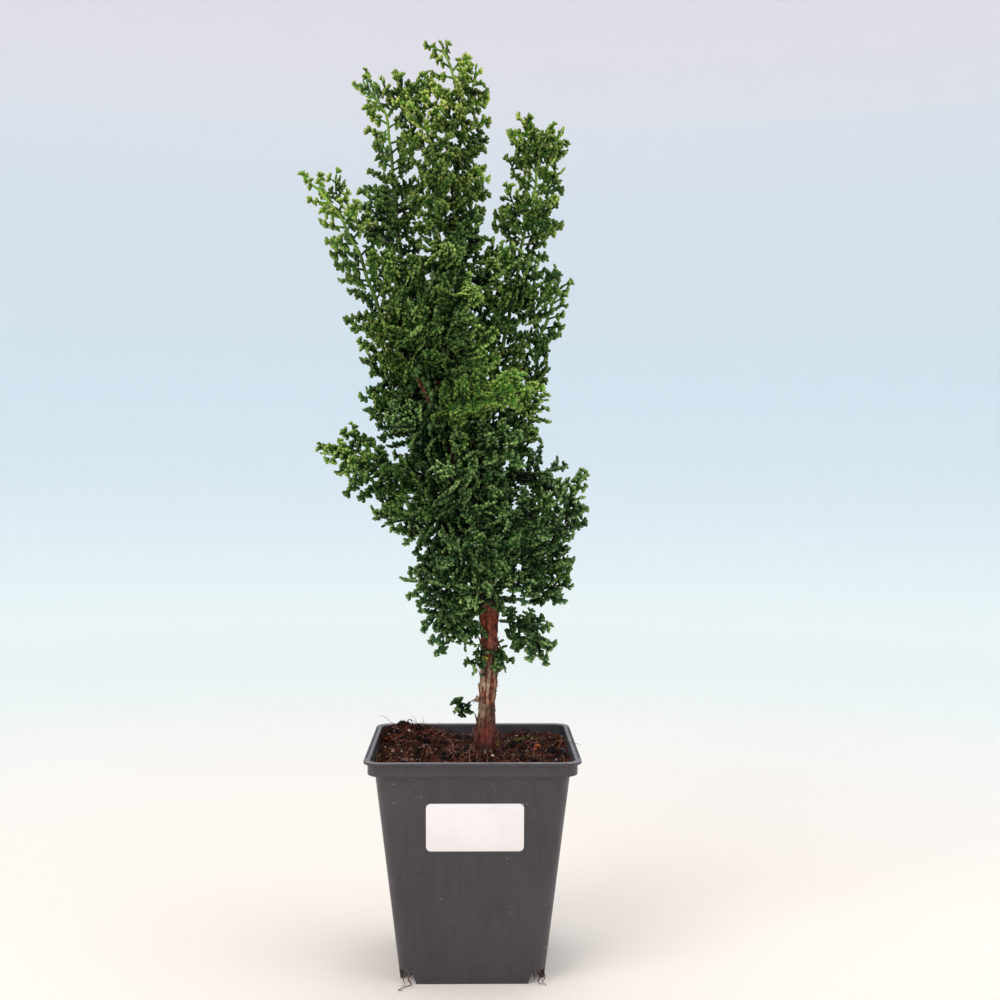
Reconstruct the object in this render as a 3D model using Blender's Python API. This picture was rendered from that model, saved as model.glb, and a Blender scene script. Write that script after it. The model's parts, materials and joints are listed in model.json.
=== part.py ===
"""Hinoki cypress bonsai, about 40 cm tall with its square nursery pot.

The pot holds a root ball of peat, and the trunk stands in a plain hole in it. The trunk and the woody
start of every branch are one piece of wood. A green leafy stem goes on from the end of each branch, with
its flat lobed sprays fused to it, and a blank paper label sits on the front of the pot.
Every piece is placed from the middle of the pot's underside. At the end the whole is moved, so that the
origin is under the middle of its outline. The front is -Y.
"""

import math
import random

import bmesh
import bpy
from mathutils import Matrix, Vector, noise
from mathutils.bvhtree import BVHTree

MM = 0.001
GAP = 0.3 * MM  # between pieces that touch
FINEST = 0.01 * MM  # shorter edges are closed up after fusing
FINE_STEP = 1 * MM  # between the points of a route before it is divided
STEPS_BETWEEN_CORNERS = 12
AIM_REACH = 1.5 * MM  # a route's direction is read this far before and after the place
NEARLY_UPRIGHT = 0.05

# Pot: a thin square tub with a stepped lip, standing on four low feet between its open corners
POT_HEIGHT = 96 * MM
RIM_WIDTH = 90 * MM
LIP_WIDTH = 86.8 * MM
LIP_DEPTH = 6.2 * MM
RIM_THICKNESS = 1.3 * MM
BODY_TOP_WIDTH = 81 * MM
BODY_BASE_WIDTH = 60.7 * MM
WALL = 1.1 * MM
FLOOR_UNDERSIDE = 6.4 * MM
FLOOR_THICKNESS = 1.2 * MM
RIM_CORNER = 7 * MM
BODY_CORNER = 6.5 * MM
CORNER_STEPS = 3
NOTCH_HEIGHT = 5.6 * MM
FOOT_HALF_AT_TOP = 25.2 * MM
FOOT_HALF_AT_BASE = 23.3 * MM
DRAIN_RADIUS = 3.8 * MM
DRAIN_OFFSET = 19 * MM
DRAIN_SIDES = 8

# Label: a bare paper sticker on the front wall
LABEL_WIDTH = 40.4 * MM
LABEL_HEIGHT = 20.4 * MM
LABEL_THICKNESS = 0.3 * MM
LABEL_CORNER = 2 * MM
LABEL_CORNER_STEPS = 2
LABEL_CENTRE_X = 1 * MM
LABEL_CENTRE_Z = 68 * MM

# Soil: a root ball of peat, heaped at the back left and round the trunk
SOIL_EDGE_HEIGHT = 89.3 * MM
SOIL_RINGS = 5
SOIL_POINTS_ON_SIDE = 2
SOIL_ROUGHNESS = 1.3 * MM
SOIL_SMOOTH_EDGE = 0.33  # share of the way in from the wall over which the roughness begins
SOIL_GRAIN = 9 * MM
SOIL_HEAPS = (  # centre x, centre y, height, spread
    (-29 * MM, 29 * MM, 7.5 * MM, 7.2 * MM),
    (-24 * MM, -4 * MM, 2.6 * MM, 9.6 * MM),
    (5 * MM, -4 * MM, 2.2 * MM, 7.8 * MM),
    (28 * MM, 20 * MM, 2.0 * MM, 7.2 * MM),
)
SOIL_HEIGHT_AT_TRUNK = 91.3 * MM
TRUNK_HOLE_DEPTH = 22 * MM
TRUNK_HOLE_CLEARANCE = 0.45 * MM

# Trunk: its route and its radius at each height, in millimetres
TRUNK_ROUTE = (
    (5, -4, 70), (5, -4, 90), (7, -4, 133), (6, -3, 160),
    (3, -2, 188), (-5, 0, 215), (-15, 0, 244), (-17, 0, 268), (-14, 0, 284), (-11, 0, 303),
)
TRUNK_RADII = (
    (70, 3.8), (84, 4.5), (90, 5.3), (96, 4.7), (104, 4.2), (133, 3.6), (143, 3.7), (150, 4.5),
    (156, 4.4), (166, 3.8), (190, 3.3), (215, 2.7), (245, 2.1), (284, 1.5), (303, 1.2),
)
TRUNK_SIDES = 7
TRUNK_STEP = 9 * MM
BARK_RIDGE = 0.06

# Leafy stems: route in millimetres from the trunk to the tip, share of the route that is wood,
# number of sprays along it, longest spray and greatest core radius in millimetres, and leaf colour
STEMS = {
    "leader_top": (
        ((-11, 0, 303), (-8, 0, 325), (-7, 0, 350), (-6, 0, 375), (-10, 0, 390), (-18, 0, 400)),
        0.03, 15, 14.5, 5.8, "leaf_light"),
    "leader_left": (
        ((-16, 0, 250), (-24, 7, 278), (-33, 13, 312), (-36, 16, 345), (-38, 17, 368), (-44, 17, 383),
         (-51, 17, 388)),
        0.3, 14, 14.5, 6, "leaf_light"),
    "leader_left_fork": (
        ((-12, 0, 298), (-15, -6, 316), (-17, -10, 341), (-19, -11, 360), (-24, -11, 370), (-33, -11, 373)),
        0.25, 6, 12, 3.8, "leaf_light"),
    "leader_far_left": (
        ((-11, -1, 232), (-24, -7, 254), (-37, -11, 279), (-48, -14, 304), (-56, -15, 321), (-68, -16, 335)),
        0.25, 12, 13.5, 5, "leaf_light"),
    "leader_right": (
        ((-6, 1, 218), (4, 4, 240), (13, 8, 275), (20, 11, 311), (27, 13, 343), (30, 13, 357), (29, 13, 366)),
        0.2, 16, 15.5, 6.4, "leaf_light"),
    "leader_far_right": (
        ((1, 0, 197), (14, 9, 220), (25, 15, 250), (31, 17, 279), (35, 18, 291), (42, 18, 300)),
        0.25, 8, 13, 4.4, "leaf_mid"),
    "branch_front": (
        ((-12, -2, 236), (-12, -14, 239), (-5, -26, 243), (7, -36, 247), (22, -43, 248)),
        0.22, 7, 14, 3, "leaf_light"),
    "branch_left": (
        ((-3, -3, 207), (-16, -11, 204), (-32, -16, 208), (-48, -17, 217), (-62, -17, 225)),
        0.2, 8, 14, 4.2, "leaf_mid"),
    "branch_right": (
        ((5, -2, 176), (17, -7, 177), (30, -10, 184), (38, -10, 198), (46, -10, 211)),
        0.2, 8, 14.5, 4.6, "leaf_dark"),
    "branch_low_left": (
        ((6, -4, 163), (-4, -10, 165), (-14, -13, 167), (-23, -15, 166)),
        0.25, 5, 15, 5, "leaf_dark"),
    "branch_drooping": (
        ((5, -1, 159), (-4, 3, 159), (-10, 5, 153), (-12, 6, 144)),
        0.3, 3, 12, 3.6, "leaf_dark"),
    "branch_low_right": (
        ((8, -4, 151), (15, -8, 149), (24, -10, 147), (30, -10, 139)),
        0.15, 4, 12, 3.4, "leaf_dark"),
    "sprout_trunk_left": (
        ((5, -5, 142), (2, -10, 139), (1, -11, 133)),
        0.55, 1, 6, 0.9, "leaf_mid"),
    "sprout_trunk_right": (
        ((8, -5, 143), (12, -8, 139), (13, -9, 134)),
        0.55, 1, 6, 0.9, "leaf_mid"),
    "sprout_base": (
        ((4, -6, 117), (0, -9, 116), (-4, -11, 113)),
        0.62, 1, 7, 0.9, "leaf_mid"),
}

# Bushy part of the crown: side branches all round the trunk, out to the crown's own outline
BUSH_LOWEST = 158 * MM
BUSH_HIGHEST = 300 * MM
BUSH_BRANCHES = 31
BUSH_SPRAYS = 2
BUSH_SPRAY_LENGTH = 16
BUSH_CORE_RADIUS = 7.8
BUSH_RISE = (0.05, 0.5)  # climb for each unit outwards, of the lowest and of the upper half
BUSH_LIFT = 8 * MM  # the crown's outline is read this far above the branch's foot
BUSH_SHORT = 0.6  # a branch stops short of the outline by this share of its longest spray
BUSH_BEND = (0.55, 0.3)  # its middle point: share of the way out, share of the climb
BUSH_FIRST_AZIMUTH = math.radians(92)
BUSH_BARE_SHARE = 0.24
BUSH_TURNS = (0, 0.2, -0.2, 0.4, -0.4, 0.6, -0.6)
BUSH_SHARES = (1, 0.85, 0.7)
LEAF_MID_FROM = 225 * MM
CROWN_OUTLINE = (  # height, reach to the left, reach to the right, in millimetres from the pot's middle line
    (150, -28, 32), (165, -31, 40), (190, -39, 45), (212, -43, 43),
    (235, -46, 33), (255, -50, 34), (275, -53, 35), (295, -53, 32), (308, -48, 16), (345, -40, 5),
)
CROWN_DEPTH_SHARE = 0.9

# Sprays: flat lobed blades set round a stem by the golden angle, and standing out of its core of lobes
GOLDEN_ANGLE = math.radians(137.5)
SPRAY_THICKNESS = 0.9 * MM
SPRAY_OPENING = math.radians(52)  # between a spray and its stem
SPRAY_OPENING_SPREAD = 0.15
SPRAY_UPTURN = 0.22
SPRAY_SUNK = 0.5  # its root lies this deep in the core, as a share of the core's radius
TIP_SPRAY_ROOT = 1.2 * MM  # the spray at the very tip starts this far back
FIRST_SPRAY = 0.4  # spacing between the tip and the first spray on the side, in steps of the others
TIP_SPRAY_SIZE = 0.55  # of a spray at the tip, as a share of the longest
SIZE_SPREAD = 0.08
FACE_TURN = math.radians(35)  # greatest random turn of a blade about its own length
FOUR_LOBES_FROM = 15.5 * MM
SPRAY_CLEARANCE = 0.45 * MM
SPRAY_SHARES = (1, 0.85, 0.7, 0.58)
SPRAY_TURNS = (0, 0.35, -0.35, 0.7, -0.7, 1.1, -1.1)
TIP_GROWTH = 0.25  # share of the stem over which the sprays and the core grow to their full size
TWIG_RADIUS = 0.8 * MM
TWIG_RADIUS_GROWTH = 0.004
FOOT_SWELL = 1.5  # a branch's radius where it leaves the trunk, as a share of its radius further out
CORE_SHARES = (1, 0.8, 0.6, 0.4)
CORE_SWELLING = 6 * MM  # the stretch over which the core swells above the wood
CORE_ROUGHNESS = 0.12
CORE_SIDES = 6
MOST_RINGS = 40
CORE_STEP = 6.1 * MM  # between rings of lobes
LOBE_OUT = 1.3  # lobes and hollows take turns round the core and along it, as shares of its radius
LOBE_IN = 0.74
LOBE_LIFT = 2.4 * MM  # lobes point towards the tip by this much
FULL_LIFT_RADIUS = 4 * MM  # where the core is thinner than this, they do so less
WOOD_STEP = 9 * MM
WOOD_SIDES = 3
SEED = 5

COLOURS = {  # base colour, roughness
    "pot_plastic": ((0.045, 0.045, 0.050), 0.45),
    "label_paper": ((0.86, 0.83, 0.83), 0.6),
    "peat": ((0.055, 0.022, 0.014), 0.95),
    "bark": ((0.20, 0.085, 0.050), 0.85),
    "leaf_light": ((0.16, 0.27, 0.045), 0.5),
    "leaf_mid": ((0.075, 0.17, 0.035), 0.5),
    "leaf_dark": ((0.035, 0.10, 0.026), 0.5),
}


def clear_scene():
    for obj in list(bpy.data.objects):
        bpy.data.objects.remove(obj)


def material(name):
    """The material of that name, made on first use."""
    found = bpy.data.materials.get(name)
    if found:
        return found
    colour, roughness = COLOURS[name]
    made = bpy.data.materials.new(name)
    made.use_nodes = True
    shader = made.node_tree.nodes["Principled BSDF"]
    shader.inputs["Base Color"].default_value = (*colour, 1)
    shader.inputs["Roughness"].default_value = roughness
    shader.inputs["Metallic"].default_value = 0
    made.diffuse_color = (*colour, 1)
    return made


def new_object(name, points, faces, finish=None):
    """A mesh object with its faces pointing out."""
    mesh = bpy.data.meshes.new(name)
    mesh.from_pydata([tuple(point) for point in points], [], faces)
    shape = bmesh.new()
    shape.from_mesh(mesh)
    bmesh.ops.recalc_face_normals(shape, faces=shape.faces)
    shape.to_mesh(mesh)
    shape.free()
    obj = bpy.data.objects.new(name, mesh)
    bpy.context.scene.collection.objects.link(obj)
    if finish:
        mesh.materials.append(material(finish))
    return obj


def loft(rings):
    """Points and faces of a closed solid through rings of equal count, capped at both ends."""
    count = len(rings[0])
    points = [point for ring in rings for point in ring]
    faces = [list(range(count))]
    for lower in range(0, count * (len(rings) - 1), count):
        for side in range(count):
            following = (side + 1) % count
            faces.append([lower + side, lower + following, lower + count + following, lower + count + side])
    faces.append(list(range(count * (len(rings) - 1), count * len(rings))))
    return points, faces


def boolean(obj, operation, others, solver="EXACT"):
    """Joins or cuts obj with the other objects in one step, and removes them."""
    helpers = bpy.data.collections.new("helpers")
    bpy.context.scene.collection.children.link(helpers)
    for other in others:
        bpy.context.scene.collection.objects.unlink(other)
        helpers.objects.link(other)
    modifier = obj.modifiers.new(operation.lower(), "BOOLEAN")
    modifier.operation = operation
    modifier.operand_type = "COLLECTION"
    modifier.collection = helpers
    modifier.solver = solver
    graph = bpy.context.evaluated_depsgraph_get()
    result = bpy.data.meshes.new_from_object(obj.evaluated_get(graph))
    obj.modifiers.clear()
    obj.data = result
    for other in others:
        bpy.data.objects.remove(other)
    bpy.data.collections.remove(helpers)


def keep_outer_shell(obj):
    """Leaves only the largest shell, so that loose scraps are dropped and sealed hollows are filled."""
    shape = bmesh.new()
    shape.from_mesh(obj.data)
    bmesh.ops.dissolve_degenerate(shape, dist=FINEST, edges=shape.edges)
    left = set(shape.verts)
    shells = []
    while left:
        shell, edge = set(), [left.pop()]
        while edge:
            vertex = edge.pop()
            shell.add(vertex)
            near = [line.other_vert(vertex) for line in vertex.link_edges]
            edge += [other for other in near if other in left]
            left.difference_update(near)
        shells.append(shell)
    largest = max(shells, key=len)
    bmesh.ops.delete(shape, geom=[vertex for vertex in shape.verts if vertex not in largest], context="VERTS")
    shape.to_mesh(obj.data)
    shape.free()


def smooth_route(corners, step):
    """Evenly spaced points on a smooth curve through the corners."""
    corners = [Vector(corner) for corner in corners]
    ends = [2 * corners[0] - corners[1], *corners, 2 * corners[-1] - corners[-2]]
    fine = []
    for before, start, stop, after in zip(ends, ends[1:], ends[2:], ends[3:]):
        for share in (number / STEPS_BETWEEN_CORNERS for number in range(STEPS_BETWEEN_CORNERS)):
            fine.append(0.5 * (
                2 * start + (stop - before) * share
                + (2 * before - 5 * start + 4 * stop - after) * share**2
                + (3 * start - before - 3 * stop + after) * share**3
            ))
    fine.append(corners[-1])
    length = sum((b - a).length for a, b in zip(fine, fine[1:]))
    count = max(2, round(length / step))
    return [along(fine, length * number / count) for number in range(count + 1)]


def along(route, distance):
    """The point at a distance along a line of points."""
    for start, stop in zip(route, route[1:]):
        piece = (stop - start).length
        if distance <= piece:
            return start.lerp(stop, distance / piece)
        distance -= piece
    return route[-1].copy()


def length_of(route):
    return sum((stop - start).length for start, stop in zip(route, route[1:]))


def direction_at(route, distance):
    """The direction of a line of points at a distance along it."""
    ahead = along(route, distance + AIM_REACH)
    behind = along(route, max(0, distance - AIM_REACH))
    return (ahead - behind).normalized()


def between(table, where):
    """Straight-line value of a table of (position, value) rows."""
    if where <= table[0][0]:
        return table[0][1]
    for (start, low), (stop, high) in zip(table, table[1:]):
        if where <= stop:
            return low + (high - low) * (where - start) / (stop - start)
    return table[-1][1]


def side_of(direction):
    """A level direction square to this one, or +X where it points straight up."""
    side = direction.cross(Vector((0, 0, 1)))
    return side.normalized() if side.length > NEARLY_UPRIGHT else Vector((1, 0, 0))


def tube(route, radii, sides, ridge=0.0):
    """Points and faces of a capped tube along the route. ridge makes every other side stand out."""
    rings = []
    side = side_of((route[1] - route[0]).normalized())
    for number, centre in enumerate(route):
        before, after = route[max(0, number - 1)], route[min(len(route) - 1, number + 1)]
        direction = (after - before).normalized()
        side = (side - direction * side.dot(direction)).normalized()
        other = direction.cross(side)
        ring = []
        for step in range(sides):
            angle = 2 * math.pi * step / sides
            swell = 1 + ridge * math.sin(3 * angle + number)
            ring.append(centre + radii[number] * swell * (side * math.cos(angle) + other * math.sin(angle)))
        rings.append(ring)
    return loft(rings)


def rounded_square(half, corner, height, points_on_side=0):
    """A level ring round a square with round corners, if asked with points along its straight sides too."""
    ring = []
    for quarter in range(4):
        turn = Matrix.Rotation(quarter * math.pi / 2, 3, "Z")
        for step in range(CORNER_STEPS + 1):
            angle = math.pi / 2 * step / CORNER_STEPS
            reach = Vector((corner * math.cos(angle), corner * math.sin(angle), 0))
            ring.append(turn @ (Vector((half - corner, half - corner, height)) + reach))
        for number in range(points_on_side):
            along_side = (half - corner) * (1 - 2 * (number + 1) / (points_on_side + 1))
            ring.append(turn @ Vector((along_side, half, height)))
    return ring


def body_half(height):
    """Half the pot's outer width at a height on its sloping wall."""
    share = height / (POT_HEIGHT - LIP_DEPTH)
    return (BODY_BASE_WIDTH + (BODY_TOP_WIDTH - BODY_BASE_WIDTH) * share) / 2


def corner_notch(quarter):
    """A wedge that opens one bottom corner of the pot, leaving sloping ends on the feet."""
    turn = Matrix.Rotation(quarter * math.pi / 2, 3, "Z")
    outside = BODY_BASE_WIDTH
    slope = FOOT_HALF_AT_TOP - FOOT_HALF_AT_BASE
    rings = []
    for height, inside in ((-NOTCH_HEIGHT, FOOT_HALF_AT_BASE - slope), (NOTCH_HEIGHT, FOOT_HALF_AT_TOP)):
        square = ((inside, inside), (outside, inside), (outside, outside), (inside, outside))
        rings.append([turn @ Vector((x, y, height)) for x, y in square])
    return new_object(f"notch_{quarter}", *loft(rings))


def drain_hole(x, y):
    rings = []
    for height in (FLOOR_UNDERSIDE - WALL, FLOOR_UNDERSIDE + FLOOR_THICKNESS + WALL):
        rings.append([
            Vector((x + DRAIN_RADIUS * math.cos(angle), y + DRAIN_RADIUS * math.sin(angle), height))
            for angle in (2 * math.pi * side / DRAIN_SIDES for side in range(DRAIN_SIDES))
        ])
    return new_object("drain", *loft(rings))


def make_pot():
    lip_bottom = POT_HEIGHT - LIP_DEPTH
    floor_top = FLOOR_UNDERSIDE + FLOOR_THICKNESS
    inner_corner = BODY_CORNER - WALL
    profile = (  # half width, corner radius and height, from under the floor over the rim and down inside
        (body_half(FLOOR_UNDERSIDE) - WALL, inner_corner, FLOOR_UNDERSIDE),
        (body_half(0) - WALL, inner_corner, 0),
        (body_half(0), BODY_CORNER, 0),
        (body_half(lip_bottom), BODY_CORNER, lip_bottom),
        (LIP_WIDTH / 2, RIM_CORNER - WALL / 2, lip_bottom),
        (LIP_WIDTH / 2, RIM_CORNER - WALL / 2, POT_HEIGHT - RIM_THICKNESS),
        (RIM_WIDTH / 2, RIM_CORNER, POT_HEIGHT - RIM_THICKNESS),
        (RIM_WIDTH / 2, RIM_CORNER, POT_HEIGHT),
        (LIP_WIDTH / 2 - WALL, inner_corner, POT_HEIGHT),
        (LIP_WIDTH / 2 - WALL, inner_corner, lip_bottom + WALL),
        (body_half(lip_bottom) - WALL, inner_corner, lip_bottom + WALL),
        (body_half(floor_top) - WALL, inner_corner, floor_top),
    )
    pot = new_object("pot", *loft([rounded_square(*row) for row in profile]), "pot_plastic")
    cutters = [corner_notch(quarter) for quarter in range(4)]
    cutters.append(drain_hole(0, 0))
    for x in (-DRAIN_OFFSET, DRAIN_OFFSET):
        cutters += [drain_hole(x, y) for y in (-DRAIN_OFFSET, DRAIN_OFFSET)]
    boolean(pot, "DIFFERENCE", cutters)
    return pot


def make_label():
    """The sticker, laid parallel to the sloping front wall and just clear of it."""
    half_width, half_height = LABEL_WIDTH / 2, LABEL_HEIGHT / 2
    outline = []
    for quarter, (x, y) in enumerate(((1, 1), (-1, 1), (-1, -1), (1, -1))):
        for step in range(LABEL_CORNER_STEPS + 1):
            angle = (quarter + step / LABEL_CORNER_STEPS) * math.pi / 2
            outline.append(Vector((
                x * (half_width - LABEL_CORNER) + LABEL_CORNER * math.cos(angle),
                y * (half_height - LABEL_CORNER) + LABEL_CORNER * math.sin(angle), 0)))
    rings = [[point + Vector((0, 0, depth)) for point in outline] for depth in (0, LABEL_THICKNESS)]
    label = new_object("label", *loft(rings), "label_paper")
    slope = math.atan2(body_half(POT_HEIGHT - LIP_DEPTH) - body_half(0), POT_HEIGHT - LIP_DEPTH)
    standing_off = GAP / math.cos(slope)
    label.rotation_euler = (math.pi / 2 + slope, 0, 0)
    label.location = (LABEL_CENTRE_X, -body_half(LABEL_CENTRE_Z) - standing_off, LABEL_CENTRE_Z)
    return label


def soil_height(x, y, inward):
    """Height of the peat. inward is 0 at the pot's wall and 1 at the trunk."""
    height = SOIL_EDGE_HEIGHT
    for centre_x, centre_y, rise, spread in SOIL_HEAPS:
        height += rise * math.exp(-((x - centre_x) ** 2 + (y - centre_y) ** 2) / (2 * spread**2))
    bumps = noise.noise(Vector((x, y, SOIL_GRAIN)) / SOIL_GRAIN)
    return height + SOIL_ROUGHNESS * bumps * min(1, inward / SOIL_SMOOTH_EDGE)


def trunk_radius(height):
    return between(TRUNK_RADII, height / MM) * MM


def make_soil():
    floor_top = FLOOR_UNDERSIDE + FLOOR_THICKNESS + GAP
    inset = WALL + GAP
    corner = BODY_CORNER - inset
    wall_top = POT_HEIGHT - LIP_DEPTH - GAP
    trunk_x, trunk_y = (value * MM for value in TRUNK_ROUTE[0][:2])

    def hole_ring(height):
        clear = trunk_radius(height) * (1 + BARK_RIDGE) + TRUNK_HOLE_CLEARANCE
        ring = []
        for number in range(len(edge)):
            angle = math.pi / 4 + 2 * math.pi * (number - CORNER_STEPS / 2) / len(edge)
            reach = Vector((clear * math.cos(angle), clear * math.sin(angle), 0))
            ring.append(Vector((trunk_x, trunk_y, height)) + reach)
        return ring

    edge = rounded_square(body_half(wall_top) - inset, corner, wall_top, SOIL_POINTS_ON_SIDE)
    hole = hole_ring(SOIL_HEIGHT_AT_TRUNK)
    rings = [rounded_square(body_half(floor_top) - inset, corner, floor_top, SOIL_POINTS_ON_SIDE)]
    for number in range(SOIL_RINGS + 1):
        share = number / SOIL_RINGS
        ring = []
        for outer, inner in zip(edge, hole):
            point = outer.lerp(inner, share)
            point.z = soil_height(point.x, point.y, share)
            ring.append(point)
        rings.append(ring)
    rings.append(hole_ring(SOIL_HEIGHT_AT_TRUNK - TRUNK_HOLE_DEPTH))
    return new_object("soil", *loft(rings), "peat")


def cob(route, radii):
    """Points and faces of a leafy core: blunt lobes take turns with hollows all over it."""
    rings = []
    side = side_of((route[1] - route[0]).normalized())
    last = len(route) - 1
    for number, centre in enumerate(route):
        direction = (route[min(last, number + 1)] - route[max(0, number - 1)]).normalized()
        side = (side - direction * side.dot(direction)).normalized()
        other = direction.cross(side)
        ring = []
        for step in range(CORE_SIDES):
            angle = 2 * math.pi * step / CORE_SIDES
            outwards = side * math.cos(angle) + other * math.sin(angle)
            lobe = (number + step) % 2 == 0
            share = 1 if number in (0, last) else LOBE_OUT if lobe else LOBE_IN
            lift = LOBE_LIFT * min(1, radii[number] / FULL_LIFT_RADIUS) if lobe and 0 < number < last else 0
            ring.append(centre + outwards * radii[number] * share + direction * lift)
        rings.append(ring)
    points = [point for ring in rings for point in ring]
    faces = [list(range(CORE_SIDES))]
    for number in range(last):
        for step in range(CORE_SIDES):
            following = (step + 1) % CORE_SIDES
            low, low_next = number * CORE_SIDES + step, number * CORE_SIDES + following
            high, high_next = low + CORE_SIDES, low_next + CORE_SIDES
            if (number + step) % 2 == 0:
                faces += [[low, low_next, high], [low_next, high_next, high]]
            else:
                faces += [[low, low_next, high_next], [low, high_next, high]]
    faces.append(list(range(CORE_SIDES * last, CORE_SIDES * (last + 1))))
    return points, faces


class Leafy:
    """A leafy stem as it is being built: its wood, its green core, its sprays and its colour."""

    def __init__(self, name, bare_share, sprays, longest, core_radius, colour):
        self.name = name
        self.bare_share = bare_share
        self.sprays = sprays
        self.longest = longest * MM
        self.core_radius = core_radius * MM
        self.colour = colour
        self.phase = random.uniform(0, 2 * math.pi)
        self.roughness = [1 + random.uniform(-CORE_ROUGHNESS, CORE_ROUGHNESS) for ring in range(MOST_RINGS)]

    def set_route(self, corners, core_share):
        """Lays the stem along its route, with the core at a share of its full radius."""
        fine = smooth_route(corners, FINE_STEP)
        whole = length_of(fine)
        bare = whole * self.bare_share
        self.length = whole - bare - GAP
        self.base_radius = TWIG_RADIUS + TWIG_RADIUS_GROWTH * self.length
        segments = max(1, round(bare / WOOD_STEP))
        wood = [along(fine, bare * number / segments) for number in range(segments + 1)]
        swell = [FOOT_SWELL + (1 - FOOT_SWELL) * number / segments for number in range(segments + 1)]
        self.wood = tube(wood, [self.base_radius * share for share in swell], WOOD_SIDES)
        count = max(2, round(self.length / CORE_STEP))
        self.places = [self.length * number / count for number in range(count + 1)]
        self.route = [along(fine, bare + GAP + place) for place in self.places]
        self.radii = [
            self.core_radius_at(place, core_share) * (self.roughness[number] if 0 < number < count else 1)
            for number, place in enumerate(self.places)
        ]
        self.core = cob(self.route, self.radii)

    def core_radius_at(self, place, core_share):
        """The leafy core swells above the wood and tapers to the tip."""
        swelling = min(1, place / CORE_SWELLING)
        tapering = min(1, (self.length - place) / (TIP_GROWTH * self.length))
        fullest = self.core_radius * core_share
        thinnest = min(self.base_radius, fullest) if place < self.length / 2 else TWIG_RADIUS
        return thinnest + (fullest - thinnest) * swelling * tapering

    def spray_frames(self, number):
        """Root, aim, face and length of a spray: first as it would grow, then turned or shortened to fit."""
        if number == 0:
            from_tip, opening, sunk = TIP_SPRAY_ROOT, 0, 0
        else:
            from_tip = self.length * (number - FIRST_SPRAY) / (self.sprays + 0.5 * FIRST_SPRAY)
            opening = SPRAY_OPENING + random.uniform(-SPRAY_OPENING_SPREAD, SPRAY_OPENING_SPREAD)
            sunk = SPRAY_SUNK * between(list(zip(self.places, self.radii)), self.length - from_tip)
        place = self.length - from_tip
        start = along(self.route, place)
        stem = direction_at(self.route, place)
        growth = TIP_SPRAY_SIZE + (1 - TIP_SPRAY_SIZE) * min(1, from_tip / (TIP_GROWTH * self.length))
        length = self.longest * growth * random.uniform(1 - SIZE_SPREAD, 1 + SIZE_SPREAD)
        tilt = random.uniform(-FACE_TURN, FACE_TURN)
        side = side_of(stem)
        for share in SPRAY_SHARES:
            for turn in SPRAY_TURNS:
                outwards = Matrix.Rotation(self.phase + number * GOLDEN_ANGLE + turn, 3, stem) @ side
                aim = stem * math.cos(opening) + outwards * math.sin(opening)
                aim = (aim + Vector((0, 0, SPRAY_UPTURN * math.sin(opening)))).normalized()
                flat = outwards.cross(stem)
                face = (flat - aim * flat.dot(aim)).normalized()
                face = Matrix.Rotation(tilt, 3, aim) @ face
                yield start + outwards * sunk, aim, face, length * share

    def lobes(self, length):
        return 3 if length < FOUR_LOBES_FROM else 4


def spray_outline(lobes):
    """Outline of a spray of unit length along X: blunt lobes by turns on either side, and one at the end."""
    first_lobe, all_lobes = 0.14, 0.62
    widest, narrowing = 0.43, 0.09
    root_half_width, stem_half_width = 0.06, 0.09
    right, left = [], []
    for number in range(lobes - 1):
        place = first_lobe + all_lobes * number / lobes
        reach = widest - narrowing * number
        side = right if number % 2 == 0 else left
        side += [(place + 0.17, reach), (place + 0.35, reach - 0.11), (place + 0.25, stem_half_width)]
    outline = [(0, -root_half_width)]
    outline += [(x, -y) for x, y in right]
    outline += [(0.97, -0.09), (1, 0.08)]
    outline += reversed(left)
    outline.append((0, root_half_width))
    return outline


def blade(outline, root, aim, face, length, grow=0.0):
    """Points and faces of a flat spray from its root along aim. grow makes it larger all round."""
    across = face.cross(aim)
    middle_x = sum(x for x, y in outline) / len(outline)
    half = SPRAY_THICKNESS / 2 + grow
    rings = []
    for lift in (-half, half):
        ring = []
        for x, y in outline:
            swell_x = grow * math.copysign(1, x - middle_x)
            swell_y = grow * math.copysign(1, y)
            ring.append(root + aim * (x * length + swell_x) + across * (y * length + swell_y) + face * lift)
        rings.append(ring)
    return loft(rings)


def bounds_of(points):
    low = Vector([min(point[axis] for point in points) for axis in range(3)])
    high = Vector([max(point[axis] for point in points) for axis in range(3)])
    return low, high


class Crowd:
    """Every solid placed so far, by object, to keep the objects apart."""

    def __init__(self):
        self.placed = []

    def add(self, owner, solid):
        self.placed.append((owner, *bounds_of(solid[0]), BVHTree.FromPolygons(*solid)))

    def met_by(self, solid):
        """The owners of the solids that this one crosses."""
        low, high = bounds_of(solid[0])
        tree = BVHTree.FromPolygons(*solid)
        met = []
        for owner, other_low, other_high, other_tree in self.placed:
            if any(low[axis] > other_high[axis] or high[axis] < other_low[axis] for axis in range(3)):
                continue
            if tree.overlap(other_tree):
                met.append(owner)
        return met

    def is_clear(self, owner, solid):
        return all(met == owner for met in self.met_by(solid))


def trunk_line():
    return smooth_route([Vector(corner) * MM for corner in TRUNK_ROUTE], TRUNK_STEP)


def trunk_point(height):
    """The middle of the trunk at a height."""
    line = trunk_line()
    x = between([(point.z, point.x) for point in line], height)
    y = between([(point.z, point.y) for point in line], height)
    return Vector((x, y, height))


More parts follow.
